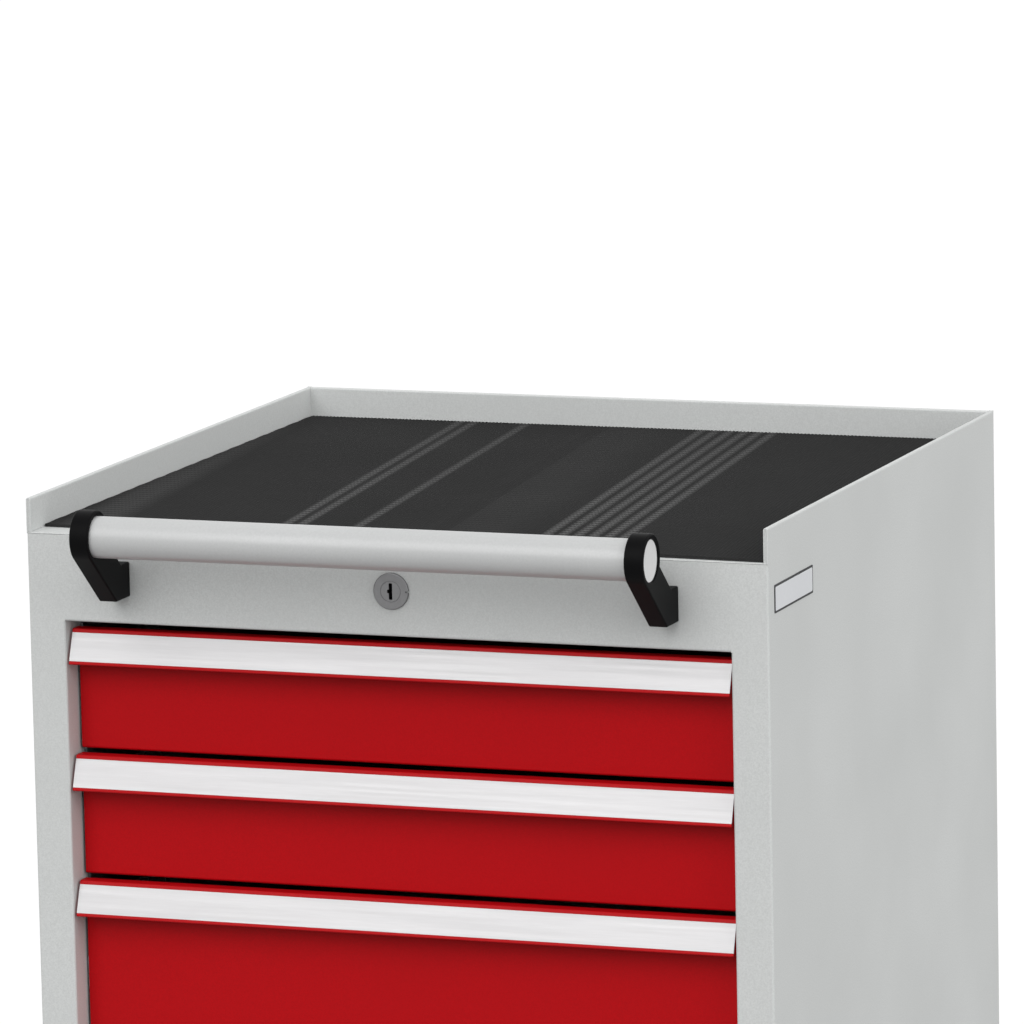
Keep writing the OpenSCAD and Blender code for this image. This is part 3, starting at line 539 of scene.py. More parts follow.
def sidePanelShells():
    # The left wall from the back along its skin and round the post, in strips that end where
    # the opening starts and stops. The rim is folded over its top and the flange in at its
    # foot, and a small sheet closes the rim's front end.
    wall = [(-halfWidth, backY), (-halfWidth, frontY), (-openingHalf, frontY)]
    post = wall + [(-openingHalf, postY)]
    inner = [(-openingHalf, frontY + sheetT), (-openingHalf, postY)]
    rimInside = -halfWidth + casing["rimWidth"]
    rim = [(rimInside, trayZ), (rimInside, rimTopZ), (-halfWidth, rimTopZ), (-halfWidth, underTray)]
    skin = [(-halfWidth, backY), (-halfWidth, trayBackY)]
    flange = [(-halfWidth + sheetT, footZ), (-halfWidth + casing["footFlange"], footZ)]
    hollow = (rimInside - sheetT, -halfWidth + sheetT)
    closure = [(hollow[1], frontY + casing["rimEndSetBack"]),
               (hollow[0], frontY + casing["rimEndSetBack"])]
    return [
        casingSheet(post, 2, openingLowZ, openingHighZ, hard="low high"),
        casingSheet(wall, 2, footZ, openingLowZ, hard="last high"),
        casingSheet(inner, 2, footZ, openingLowZ, hard="high"),
        casingSheet(wall, 2, openingHighZ, underTray, hard="last low high"),
        casingSheet(inner, 2, openingHighZ, underTray, hard="low"),
        casingSheet(rim, 1, frontY, trayBackY, bend=casing["rimBendInside"], hard="last high"),
        casingSheet(skin, 2, underTray, rimTopZ, hard="last low"),
        casingSheet(flange, 1, frontY + sheetT, trayBackY),
        foldedSheet(closure, casing["rimEndSheet"], 2, trayZ, rimTopZ - sheetT,
                    edge=casing["rimEndEdge"]),
    ]


def postCutters():
    # Openings in the left post for what reaches through it from the lock bar: its tabs and its
    # arm. Their heights are read from the bar's own points, split where a gap parts two of them.
    points = pointsOf(frame["nodes"]["lock_bar"].data)
    through = points[points[:, 0] > -openingHalf + casing["slotPlay"]]
    heights = np.unique(np.round(through[:, 2], 2))
    groups = np.split(heights, np.flatnonzero(np.diff(heights) > casing["tabGap"]) + 1)
    stroke = mmPerMetre * jointOf("lock_bar_slide")["range_m"][1]
    play = casing["slotPlay"]
    y0, y1 = through[:, 1].min() - play, through[:, 1].max() + play
    x0, x1 = -openingHalf - 2 * sheetT, -openingHalf + sheetT
    return [block((x0, y0, group.min() - stroke - play), (x1, y1, group.max() + play))
            for group in groups]


def backPanelShells():
    # the middle carries the folded rim, and a plain strip beside it meets each side wall
    rimInside = halfWidth - casing["rimWidth"]
    rimY = backY - casing["rimWidth"]
    hem = [(backY, footZ), (backY, rimTopZ), (rimY, rimTopZ), (rimY, trayZ)]
    strip = casingSheet(hem[:2], 0, -halfWidth + sheetT, -rimInside, hard="high")
    middle = casingSheet(hem, 0, -rimInside, rimInside, bend=casing["rimBendInside"],
                         hard="low high")
    return [middle] + onBothSides([strip])


def trayShells():
    # a plate whose back edge is turned down
    plate = [(trayBackY, trayLow[2]), (trayBackY, trayZ), (frontY, trayZ)]
    return [casingSheet(plate, 0, trayLow[0], trayHigh[0], edge=casing["trayEdge"])]


def lockPanelShells():
    # folded back over the opening, with a lip turned up behind
    backEdge = panelHigh[1]
    fold = [(frontY, underTray), (frontY, openingHighZ), (backEdge, openingHighZ),
            (backEdge, openingHighZ + casing["panelLip"])]
    return [casingSheet(fold, 0, -openingHalf, openingHalf, hard="low high")]


def panelCutters():
    # holes for the lock's barrel and for the four screws of the handle
    barrelLow, barrelHigh = boxOf("lock_housing")
    screwLow, screwHigh = boxOf("handle_screws")
    middle = (barrelLow[[0, 2]] + barrelHigh[[0, 2]]) / 2
    head, shank = casing["screwHead"], casing["screwHole"]
    holes = [(*middle, casing["barrelHole"])]
    holes += [(side * (screwHigh[0] - head), z, shank) for side in (-1, 1)
              for z in (screwLow[2] + head, screwHigh[2] - head)]
    return [drill((x, z), radius, 1, frontY - casing["cutPast"], frontY + 2 * sheetT)
            for x, z, radius in holes]


def basePanShells():
    # the plinth, folded back at its foot, and the floor behind it
    plinth = [(postY, openingLowZ), (frontY, openingLowZ), (frontY, footZ),
              (frontY + casing["footFlange"], footZ)]
    floor = [(trayBackY, openingLowZ), (postY, openingLowZ)]
    return [casingSheet(plinth, 0, -openingHalf, openingHalf, hard="first low high"),
            casingSheet(floor, 0, panLow[0], panHigh[0], hard="last")]


def channelShells():
    # two channels with their flanges up, across the casing over the castors
    low, high = boxOf("castor_channels")
    depth, thickness = casing["channelDepth"], casing["channelSheet"]
    shells = []
    for start in (low[1], high[1] - depth):
        section = [(start, high[2]), (start, low[2]), (start + depth, low[2]),
                   (start + depth, high[2])]
        shells.append(foldedSheet(section, thickness, 0, low[0], high[0], bend=thickness))
    return shells


def uprightShells():
    # channels that stand at the front and the back of both sides and carry the rails
    low, high = boxOf("slide_uprights")
    width, thickness = casing["uprightWidth"], casing["uprightSheet"]
    shells = []
    for start in (low[1], high[1] - width):
        section = [(low[0], start), (-openingHalf, start), (-openingHalf, start + width),
                   (low[0], start + width)]
        shells.append(foldedSheet(section, thickness, 2, low[2], high[2]))
    return onBothSides(shells)


finishPiece("side_wall_left", sidePanelShells(), "casing paint", "side_panel_left",
            cutters=postCutters(), fused=True)
finishPiece("side_wall_right", [mirrored(shell) for shell in sidePanelShells()],
            "casing paint", "side_panel_right", fused=True)
finishPiece("back_wall", backPanelShells(), "casing paint", "back_panel", fused=True)
finishPiece("tray", trayShells(), "casing paint", "top_tray")
finishPiece("lock_panel_sheet", lockPanelShells(), "casing paint", "lock_panel",
            cutters=panelCutters())
finishPiece("floor_pan", basePanShells(), "casing paint", "base_pan")
finishPiece("castor_channel_sheets", channelShells(), "zinc steel", "castor_channels")
finishPiece("rail_uprights", uprightShells(), "zinc steel", "slide_uprights")
print("casing made")


# Mat and name plate
mat = {
    "ribPitch": 3.1,
    "ribHeight": 0.3,
    "skew": -0.096,
    # lighter bands: place of each one's middle across the mat, its width and its strength
    "bands": [(-287, 34, 0.28), (-133.5, 7, 0.68), (-121, 7, 0.68), (-75, 7, 0.64), (20, 60, 0.1)]
             + [(79 + 12.4 * i, 6.5, 0.8) for i in range(6)],
    "darkBands": [(-8, 10, 0.4)],
    "bandFade": 0.5,  # how far a band's sides fade out, as a part of half its width
    "frontGain": 0.5,
    "bandColour": (93, 93, 93),
    "dashPitch": 4.6,
    "dashDistortion": 0.6,
    "dashTones": (0.35, 1),
    "dashEdge": (0.2, 0.8),
    "pointsPerRib": 8,
    "crest": 0.6,
    "spare": (40, 10),  # how far the ribs run past the outline before they are trimmed
    "sharp": 50,
}


def addBands(mesh):
    # How light each point is: every band rises and falls smoothly from its middle line, which
    # leans as the ribs do, and it grows steadily lighter towards the front.
    x, y, _ = pointsOf(mesh).T
    low, high = boxOf("rubber_mat")
    back = y - (low[1] + high[1]) / 2
    u = x - mat["skew"] * back
    light = np.zeros(len(u))
    for sign, bands in ((1, mat["bands"]), (-1, mat["darkBands"])):
        for middle, width, strength in bands:
            rise = np.clip(1 + mat["bandFade"] - np.abs(u - middle) / (width / 2), 0, 1)
            light += sign * strength * rise
    light *= 1 - mat["frontGain"] * back / (high[1] - low[1])
    layer = mesh.attributes.new("band", "FLOAT", "POINT")
    layer.data.foreach_set("value", light.astype(np.float32))


def matMesh():
    # Across the mat the top is a row of round-shouldered ribs: its height follows the sine of
    # the place across, clipped flat at the crest and in the groove. The section is carried
    # along a line that leans with the skew, and planes trim it to the mat's outline.
    low, high = boxOf("rubber_mat")
    pitch = mat["ribPitch"]
    reach = high[0] + mat["spare"][0]
    u = np.arange(-reach, reach, pitch / mat["pointsPerRib"])
    wave = np.clip(np.sin(2 * math.pi * u / pitch) / mat["crest"], -1, 1)
    top = np.stack([u, high[2] - mat["ribHeight"] * (1 - wave) / 2], axis=-1)
    section = np.concatenate([top, [(u[-1], low[2]), (u[0], low[2])]])
    along = np.array([low[1] - mat["spare"][1], high[1] + mat["spare"][1]])
    lean = mat["skew"] * (along - (low[1] + high[1]) / 2)
    grid = toSpace(section + np.stack([lean, 0 * lean], -1)[:, None], along[:, None], 1)
    count = len(section)
    points = grid.reshape(-1, 3) / mmPerMetre
    ends = [list(range(count)), list(range(2 * count - 1, count - 1, -1))]
    mesh = bpy.data.meshes.new("mat")
    mesh.from_pydata(points.tolist(), [], ringQuads(2, count).tolist() + ends)
    work = bmesh.new()
    work.from_mesh(mesh)
    corners = frame["nodes"]["rubber_mat"].data.vertices
    leftFront = min(v.co.y for v in corners if v.co.x < 0) * mmPerMetre
    slope = (low[1] - leftFront) / (high[0] - low[0])
    planes = [((low[0], 0, 0), (-1, 0, 0)), ((high[0], 0, 0), (1, 0, 0)),
              ((0, high[1], 0), (0, 1, 0)), ((high[0], low[1], 0), (slope, -1, 0))]
    for place, outward in planes:
        cut = bmesh.ops.bisect_plane(work, geom=[*work.verts, *work.edges, *work.faces],
                                     plane_co=Vector(place) / mmPerMetre, plane_no=outward,
                                     clear_outer=True)
        rim = [e for e in cut["geom_cut"] if isinstance(e, bmesh.types.BMEdge)]
        bmesh.ops.holes_fill(work, edges=rim, sides=0)
    bmesh.ops.recalc_face_normals(work, faces=work.faces)
    work.to_mesh(mesh)
    work.free()
    addBands(mesh)
    return mesh


def addBandTone():
    # gives the rubber's finish the bands' lighter tone, broken up by fine dashes across them
    n = Nodes(paint["mat rubber"])
    plain = n.shader.inputs["Base Color"].links[0].from_socket
    band = n.add("Attribute", attribute_name="band").outputs["Fac"]
    place = n.add("TexCoord").outputs["Object"]
    wave = n.add("TexWave", {"Vector": place, "Distortion": mat["dashDistortion"], "Detail": 1,
                             "Scale": mmPerMetre / mat["dashPitch"] / 2 / math.pi},
                 bands_direction="Y")
    dashes = n.spread(wave.outputs["Fac"], *mat["dashTones"], *mat["dashEdge"])
    share = n.add("Math", {0: band, 1: dashes}, operation="MULTIPLY")
    n.put(n.shader, "Base Color", n.mixed(share.outputs[0], plain, linear(mat["bandColour"])))


addBandTone()
finishPiece("ribbed_mat", matMesh(), "mat rubber", "rubber_mat", sharp=mat["sharp"])

namePlate = {
    "frame": 1.7,
    "corner": 1.2,
    "raised": 0.12,
    "trim": 1,
    "edge": 0.1,
}
plateLow, plateHigh = boxOf("name_plate")
plateStep = plateHigh[0] - namePlate["raised"]


def namePlateShell(inset, x0, x1):
    y0, z0 = plateLow[1:] + inset + (0, namePlate["trim"])
    y1, z1 = plateHigh[1:] - inset - (0, namePlate["trim"])
    return block((x0, y0, z0), (x1, y1, z1), 0, namePlate["corner"], namePlate["edge"], "low")


# the dark frame, which also stands in as painted shadow along the plate's edges
finishPiece("name_plate_edge", [namePlateShell(0, plateLow[0], plateStep)],
            "name plate edge", "name_plate")
finishPiece("name_plate_field", [namePlateShell(namePlate["frame"], plateStep, plateHigh[0])],
            "name plate white", "name_plate")
print("mat and name plate made")


# Push handle
tubeLow, tubeHigh = boxOf("handle_tube")
_, bracketHigh = boxOf("handle_brackets")
tubeRadius = (tubeHigh[1] - tubeLow[1]) / 2
tubeCentre = (tubeLow[1:] + tubeHigh[1:]) / 2
handle = {
    "tubeWall": 2,
    "tubeEdge": 0.3,
    "segments": 96,
    "capThickness": 2,
    "capPlug": 12,
    "capRecess": 1.2,
    "capRadii": (0, 0, 0.3, 0.2, 0.1, 0.8),
    "bracketThickness": 15,
    "ringWall": 4.5,
    "footTopZ": -19.7,
    "footHeight": 27,
    "footTopDepth": 15.4,
    "footBottomDepth": 26,
    "footRadii": (1.2, 1.2, 3),
    "toeRadius": 2.5,
    "backAngle": -20,
    "ringSteps": 40,
    "edge": 1.3,
    "boreGap": 0.1,
}


def bracketShell():
    # The outline runs up the back of the foot, along its top to the ring, round the ring, and
    # down the lower edge, which touches the ring.
    ring = tubeRadius + handle["ringWall"]
    top = trayZ + handle["footTopZ"]
    bottom = top - handle["footHeight"]
    foot = np.array([frontY - handle["footBottomDepth"], bottom])
    reach = tubeCentre - foot
    far = np.linalg.norm(reach)
    touch = math.degrees(math.atan2(-reach[1], -reach[0]) - math.acos(ring / far)) % 360
    around = arc(tubeCentre, ring, handle["backAngle"], touch, handle["ringSteps"])
    line = [(frontY, bottom), (frontY, top), (frontY - handle["footTopDepth"], top), *around, foot]
    radii = [*handle["footRadii"], *[0] * len(around), handle["toeRadius"]]
    loops = [outline(line, radii), bore(tubeCentre, tubeRadius + handle["boreGap"])]
    low = bracketHigh[0] - handle["bracketThickness"]
    return slab(loops, 0, low, bracketHigh[0], handle["edge"])


def tubeShells():
    x, r = tubeHigh[0], tubeRadius
    wall = [(-x, r - handle["tubeWall"]), (x, r - handle["tubeWall"]), (x, r), (-x, r)]
    return [turned(wall, handle["tubeEdge"], 0, tubeCentre, handle["segments"])]


def capShell():
    # a disc set a little back in the bracket's bore, with a plug inside the tube
    x, r = tubeHigh[0], tubeRadius
    face = x + handle["capThickness"] - handle["capRecess"]
    inside = r - handle["tubeWall"] - handle["boreGap"]
    profile = [(x - handle["capPlug"], 0), (face, 0), (face, r), (x, r), (x, inside),
               (x - handle["capPlug"], inside)]
    return turned(profile, handle["capRadii"], 0, tubeCentre, handle["segments"])


finishPiece("push_tube", tubeShells(), "handle paint", "handle_tube")
finishPiece("tube_caps", onBothSides([capShell()]), "cap plastic", "handle_end_caps")
finishPiece("brackets", onBothSides([bracketShell()]), "bracket plastic", "handle_brackets")
softenedCopy("bracket_screws", "handle_screws", "zinc steel")
print("handle made")


# Lock
housingLow, housingHigh = boxOf("lock_housing")
cylinderLow, cylinderHigh = boxOf("lock_cylinder")
lockCentre = (housingLow[[0, 2]] + housingHigh[[0, 2]]) / 2
lock = {
    "barrelRadius": 11,
    "cylinderRadius": 8,
    "gap": 0.05,
    "slotHeight": 12.5,
    "slotWidth": 2.6,
    "slotDepth": 14,
    "slotRadii": (0.5, 0.5, 0.5, 0.2, 0.3, 0.3, 0.2, 0.5),
    # painted shade in the key slot: its colour, and from where to where behind the face the metal
    # darkens to it
    "slotColour": (60, 60, 61),
    "slotShade": (0.4, 1.2),  # from where to where it darkens behind the face
    "coreStep": 0.3,
    "coreLap": 1,
    "cylinderEdge": 0.3,
    "cylinderSteps": 72,
    "barrelRadii": (0.25, 0.3, 0.5, 0, 0.1, 1.4),
    "barrelSegments": 96,
    "markWidth": 2.2,
    "markHeight": 1.5,
    "markRadius": 0.6,
    "markEdge": 0.1,
    "cutPast": 1,
    "rodBevel": 0.25,
}


def housingShell():
    face, rosette = housingLow[1], (housingHigh[0] - housingLow[0]) / 2
    inside = lock["cylinderRadius"] + lock["gap"]
    profile = [(face, inside), (housingHigh[1], inside), (housingHigh[1], lock["barrelRadius"]),
               (frontY, lock["barrelRadius"]), (frontY, rosette), (face, rosette)]
    return turned(profile, lock["barrelRadii"], 1, lockCentre, lock["barrelSegments"])


def markShell():
    # a small notch in the rosette's edge, at its right
    wide, tall, soft = lock["markWidth"], lock["markHeight"] / 2, lock["markRadius"]
    x, z = housingHigh[0] - wide, lockCentre[1]
    start = housingLow[1] - lock["cutPast"]
    return block((x, start, z - tall), (x + 2 * wide, frontY, z + tall), 1,
                 [soft, 0, 0, soft], lock["markEdge"])


def paintSlotShade():
    # paints shade inside the key slot: behind the cylinder's face the metal darkens with depth to
    # the slot's shade colour
    n = Nodes(paint["key cylinder metal"])
    metalColour = n.shader.inputs["Base Color"].links[0].from_socket
    place = n.add("SeparateXYZ", {0: n.add("TexCoord").outputs["Object"]})
    start, end = (cylinderLow[1] + np.array(lock["slotShade"])) / mmPerMetre
    inside = n.spread(place.outputs["Y"], 0, 1, start, end)
    n.put(n.shader, "Base Color", n.mixed(inside, metalColour, linear(lock["slotColour"])))


def cylinderShells():
    # the front part is a disc with the key slot as a hole, and a core behind closes the slot
    radius, face = lock["cylinderRadius"], cylinderLow[1]
    half, tall = lock["slotWidth"] / 2, lock["slotHeight"] / 2
    slotLine = [(half, -tall), (half, tall), (-half, tall), (-half, half), (-2 * half, half),
                (-2 * half, -half), (-half, -half), (-half, -tall)]
    slot = hole(np.array(slotLine) + lockCentre, lock["slotRadii"])
    floor, steps, edge = face + lock["slotDepth"], lock["cylinderSteps"], lock["cylinderEdge"]
    front = disc(lockCentre, radius, steps)
    core = disc(lockCentre, radius - lock["coreStep"], steps)
    return [slab([front, slot], 1, face, floor + lock["coreLap"], edge),
            slab([core], 1, floor, cylinderHigh[1], edge)]


paintSlotShade()
finishPiece("lock_rosette", [housingShell()], "lock metal", "lock_housing",
            cutters=[markShell()])
finishPiece("key_cylinder", cylinderShells(), "key cylinder metal", "lock_cylinder",
            "lock_turning_part")
softenedCopy("lock_ring_nut", "lock_nut", "zinc steel")
softenedCopy("lock_lever", "lock_cam", "zinc steel", "lock_turning_part")
softenedCopy("lock_rod", "lock_bar", "zinc steel", "locking_bar", lock["rodBevel"])
softenedCopy("rod_guides", "lock_bar_guides", "guide plastic")
print("lock made")


# Drawers and their rails
drawerNumbers = range(1, 6)
drawer = {
    "sheet": 1,
    "topFold": 6,
    "foldBend": 0.6,
    "dividerWidth": 2.5,
    "dividerHeight": 12,
    "dividerPitch": 34,
    "dividerStart": 1.5,  # in pitches from the box's front
    "dividerRadius": 0.6,
    "grip": 26.5,
    "gripLean": 9.5,
    "gripThickness": 2.2,
    "gripBend": 1.0,
    "gripTip": 0.8,
    "frontBends": (2.0, 2.2),
    "hemBend": 0.8,
    "hemEdge": 0.4,
    "stripThickness": 1,
    "stripTopEdge": 3,
    "stripLip": 2.5,
    "stripEdge": 0.15,
    "grooveRadii": (0.25, 0.1),
    "bottomFold": 8,
    "catchReach": 10,
    "catchThickness": 2,
    "catchHeight": 10,
    "catchLift": 5,
    "catchPlay": 1,
    "catchRadius": 1.2,
    "edge": 0.3,
}
rail = {
    "thickness": 1.5,
    "gap": 0.3,
    "height": 46,
    "bend": 0.8,
    "edge": 0.3,
}

# Places across the left side, from the casing's rail to the drawer box
boxHalf = -boxOf("drawer_1_box")[0][0] - drawer["catchReach"]
midOuterX = boxOf("drawer_1_mid_rails")[0][0]
midInnerX = -boxHalf - rail["thickness"] - 2 * rail["gap"]
webX = (midOuterX + midInnerX) / 2 - rail["thickness"]
gripLength = math.hypot(drawer["grip"], drawer["gripLean"])
stripStart, stripEnd = drawer["stripTopEdge"], gripLength - drawer["stripLip"]


def railShell(back, rims, height, middle, y0, y1):
    # a rail's outer skin runs from one rim round its back to the other, sheet on its left
    top, bottom = middle + height / 2, middle - height / 2
    line = [(rims, top), (back, top), (back, bottom), (rims, bottom)]
    return foldedSheet(line if rims > back else line[::-1], rail["thickness"], 1, y0, y1,
                       bend=rail["bend"])


def railMiddle(k):
    low, high = boxOf(f"drawer_{k}_mid_rails")
    return (low[2] + high[2]) / 2


def casingRailShells():
    low, high = boxOf("cabinet_rails")
    rims = midInnerX - rail["thickness"]
    return onBothSides([railShell(low[0], rims, rail["height"], railMiddle(k), low[1], high[1])
                        for k in drawerNumbers])


def midRailShells(k):
    # two flanges and the web between them
    low, high = boxOf(f"drawer_{k}_mid_rails")
    t = rail["thickness"]
    lines = [[(low[0], z), (midInnerX, z)] for z in (low[2], high[2] - t)]
    lines.append([(webX, high[2] - t), (webX, low[2] + t)])
    return onBothSides([foldedSheet(line, t, 1, low[1], high[1], edge=rail["edge"])
                        for line in lines])


def runnerShell(k):
    # the rail welded to the drawer box, which runs on the middle rail's web
    low, high = boxOf(f"drawer_{k}_mid_rails")
    inside = 2 * (rail["thickness"] + rail["gap"])
    rims = webX + inside - rail["thickness"]
    return railShell(-boxHalf, rims, high[2] - low[2] - inside, railMiddle(k), low[1], high[1])


def catchShell(k):
    # the catch on the box's left side, which the lock bar's tab blocks
    top = railMiddle(k) + rail["height"] / 2 + drawer["catchLift"] + drawer["catchHeight"]
    low, y = top - drawer["catchHeight"], boxOf("lock_bar")[1][1] + drawer["catchPlay"]
    return block((-boxHalf - drawer["catchReach"], y, low),
                 (-boxHalf, y + drawer["catchThickness"], top), 1, drawer["catchRadius"],
                 drawer["edge"], hard="")


def boxShells(k):
    # The bottom and both sides are one sheet with its top edges folded in, and the front and
    # back plates stand between the sides.
    low, high = boxOf(f"drawer_{k}_box")
    t, fold, half, edge = drawer["sheet"], drawer["topFold"], boxHalf, drawer["edge"]
    y0, y1, z0, z1 = low[1], high[1], low[2], high[2]
    tray = [(fold - half, z1), (-half, z1), (-half, z0), (half, z0), (half, z1), (half - fold, z1)]
    shells = [foldedSheet(tray, t, 1, y0, y1, bend=drawer["foldBend"], edge=edge)]
    front = [(y0 + fold, z1), (y0, z1), (y0, z0 + t)]
    back = [(y1, z0 + t), (y1, z1), (y1 - fold, z1)]
    for plate, upright in ((front, front[1:]), (back, back[:2])):
        shells.append(foldedSheet(plate, t, 0, fold - half, half - fold, bend=drawer["foldBend"],
                                  edge=edge, hard="low high"))
        underFold = [(y, min(z, z1 - t)) for y, z in upright]
        corner = foldedSheet(underFold, t, 0, t - half, fold - half, edge=edge,
                             hard="first last low high")
        shells += onBothSides([corner])
    return shells + onBothSides([runnerShell(k)]) + [catchShell(k)]


def dividerCutters(k):
    # slots for the dividers, in a row under the folded top edge of both sides
    low, high = boxOf(f"drawer_{k}_box")
    pitch, t = drawer["dividerPitch"], drawer["sheet"]
    top = high[2] - 2 * t
    count = int((high[1] - low[1] - 2 * pitch) // pitch)
    shells = []
    for y in low[1] + pitch * (drawer["dividerStart"] + np.arange(count)):
        shells.append(block((-boxHalf - t, y, top - drawer["dividerHeight"]),
                            (2 * t - boxHalf, y + drawer["dividerWidth"], top), 0,
                            drawer["dividerRadius"], steps=3))
    return onBothSides(shells)


def gripPoint(k, along, deep):
    # a point of the leaning grip: down along it from its top edge, and in from its face
    low, high = boxOf(f"drawer_{k}_front")
    down, out = drawer["grip"] / gripLength, drawer["gripLean"] / gripLength
    return (low[1] + drawer["gripLean"] - along * out + deep * down,
            high[2] - along * down - deep * out)


def frontShell(k):
    # The panel's section, each corner with its radius: from the foot of its face round the
    # bottom fold, up the back and along the top, down the grip with its recess for the strip,
    # and up behind the grip.
    low, high = boxOf(f"drawer_{k}_front")
    back = boxOf(f"drawer_{k}_box")[0][1]
    panel, top, bottom = back - sheetT, high[2], low[2]
    deep, thick, fold = (drawer[key] for key in ("stripThickness", "gripThickness", "bottomFold"))
    bend, tip, hem = drawer["gripBend"], drawer["gripTip"], drawer["hemEdge"]
    (lowBend, highBend), (lip, groove) = drawer["frontBends"], drawer["grooveRadii"]
    corners = [
        ((panel, bottom), lowBend),
        ((panel + fold, bottom), hem),
        ((panel + fold, bottom + sheetT), hem),
        ((back, bottom + sheetT), drawer["hemBend"]),
        ((back, top), highBend),
        (gripPoint(k, 0, 0), bend),
        (gripPoint(k, stripStart, 0), lip),
        (gripPoint(k, stripStart, deep), groove),
        (gripPoint(k, stripEnd, deep), groove),
        (gripPoint(k, stripEnd, 0), lip),
        (gripPoint(k, gripLength, 0), tip),
        (gripPoint(k, gripLength, thick), tip),
        ((gripPoint(k, 0, thick)[0], top - sheetT), bend),
        ((panel, top - sheetT), bend),
    ]
    line = outline([corner for corner, _ in corners], [radius for _, radius in corners])
    return slab([line], 0, low[0], high[0], drawer["edge"])


def stripShell(k):
    low, high = boxOf(f"drawer_{k}_strip")
    deep, edge = drawer["stripThickness"], drawer["stripEdge"]
    corners = [gripPoint(k, along, down) for along, down in
               ((stripEnd, 0), (stripEnd, deep), (stripStart, deep), (stripStart, 0))]
    return slab([outline(corners, edge, 3)], 0, low[0], high[0], edge)


finishPiece("casing_rails", casingRailShells(), "zinc steel", "cabinet_rails")
for k in drawerNumbers:
    body = f"drawer_{k}"
    finishPiece(f"{body}_tray", boxShells(k), "drawer box paint", f"{body}_box", body,
                cutters=dividerCutters(k), fused=True)
    finishPiece(f"{body}_face", [frontShell(k)], "drawer front paint", f"{body}_front", body)
    finishPiece(f"{body}_insert", [stripShell(k)], "strip aluminium", f"{body}_strip", body)
    finishPiece(f"{body}_runners", midRailShells(k), "zinc steel", f"{body}_mid_rails",
                f"{body}_runners")
print("drawers made")


# Castors
castor = {
    "plateThickness": 4,
    "plateLength": 105,
    "plateDepth": 85,
    "plateCorner": 8,
    "plateEdge": 0.8,
    "bearingHeight": 8,
    "bearingRadius": 30,
    "bearingSegments": 72,
    "raceLip": 2,
    "raceRadii": (0, 1, 0.4, 0.3, 0.3, 0.4, 1, 0),
    "grooveHalf": 0.6,
    "grooveDepth": 2.5,
    "kingpinRadius": 6,
    "kingpinHead": 4,
    "kingpinRim": 5,
    "kingpinRadii": (0, 2, 0.4, 0.3, 0, 0),
    "pinSegments": 48,
    "gap": 0.3,
    "lap": 1,  # how far joined forms reach into each other
    "forkSheet": 3,
    "forkInside": 48,
    "forkBend": 2.5,
    "forkEdge": 0.7,
    "eyeRadius": 15,
    "eyeStart": 0.12,
    "eyeSteps": 13,
    "legSteps": 10,
    "shoulder": 24,
    "topHalf": 30,
    "backExtra": 6,
    "axleRadius": 5,
    "turnGap": 0.05,
    "headShare": 0.87,
    "headRadii": (0, 0, 1.2, 0.1),
    "boltEnd": 2,
    "boltRadii": (0, 0, 0.8, 0),
}
wheel = {
    "tyreHeight": 15,
    "tyreSegments": 120,
    "beadHeight": 4,
    "beadSlope": 1,
    "beadRadii": (1, 0.6, 0.6),
    "shoulder": 6,
    "sideStep": 0.8,
    "grooveAt": 5.4,
    "grooveHalf": 0.6,
    "grooveDepth": 0.8,
    "grooveRadii": (0.4, 0.3, 0.4),
    "segments": 96,
    "hubRadius": 17,
    "hubTaper": 3,
    "hubRadii": (0.5, 1, 2),
    "webHalf": 4,
    "rimHalf": 17.75,
    "rimThickness": 6,
    "rimRadii": (2.5, 0.8, 0.6),
    "ribs": 10,
    "ribHalf": 1.5,
    "ribHubReach": 15,
    "ribRimReach": 13,
    "ribRoots": (2, 1, 1),  # how far a rib reaches into the hub, the rim and the web
    "ribEdge": 0.5,
}
pedal = {
    "width": 32,
    "thickness": 6,
    "reach": 60,
    "heel": 4,
    "tipRise": 2,
    "tipBevel": 6,
    "plateRadii": (1.5, 1.5, 5, 2.5, 1.5, 3),
    "plateEdge": 1.2,
    "webStart": 9,
    "shoeInset": 3,
    "shoeGap": 2.8,
    "shoeAngle": 143,
    "shoeDepth": 10,
    "shoeHeight": 6,
    "shoeLean": 1,
    "shoeRadii": (1, 1, 1, 2, 1.5, 1, 1.5),
    "shoeEdge": 0.8,
    "lap": 1,
    "bossRadius": 6,
    "pinRadius": 3,
    "pinShort": 0.5,
    "barEdge": 0.6,
    "barSegments": 40,
    "treads": 6,
    "treadStart": 8,
    "treadPitch": 4.5,
    "treadRadius": 1.2,
    "treadEdge": 0.5,
    "treadSegments": 16,
}
platesLow, platesHigh = boxOf("swivel_castor_plates")
fixedLow, fixedHigh = boxOf("fixed_castor_brackets")
frontWheelLow, frontWheelHigh = boxOf("right_front_tyre")
plateZ = platesHigh[2] - castor["plateThickness"]
castorX = platesHigh[0] - castor["plateLength"] / 2
forkY = boxOf("left_fork")[0][1] + castor["topHalf"]
fixedY = (fixedLow[1] + fixedHigh[1]) / 2
trail = (frontWheelLow[1] + frontWheelHigh[1]) / 2 - forkY
wheelRadius = (frontWheelHigh[2] - frontWheelLow[2]) / 2
axleZ = (frontWheelHigh[2] + frontWheelLow[2]) / 2
bearingLowZ = plateZ - castor["bearingHeight"]
crownHighZ = bearingLowZ - castor["gap"]
rimRadius = wheelRadius - wheel["tyreHeight"]
_, pivotY, pivotZ = mmPerMetre * np.array(jointOf("left_brake_press")["pos_m"])


def bothWays(right):
    # a section's right half, as points with their corner radii, and its mirror image
    return right + [((-a, r), radius) for (a, r), radius in right[::-1]]


def turnedAt(section, x, centre, segments):
    # a section of places from the middle x and radii, turned about an axle along X
    profile = [(x + a, r) for (a, r), _ in section]
    return turned(profile, [radius for _, radius in section], 0, centre, segments)


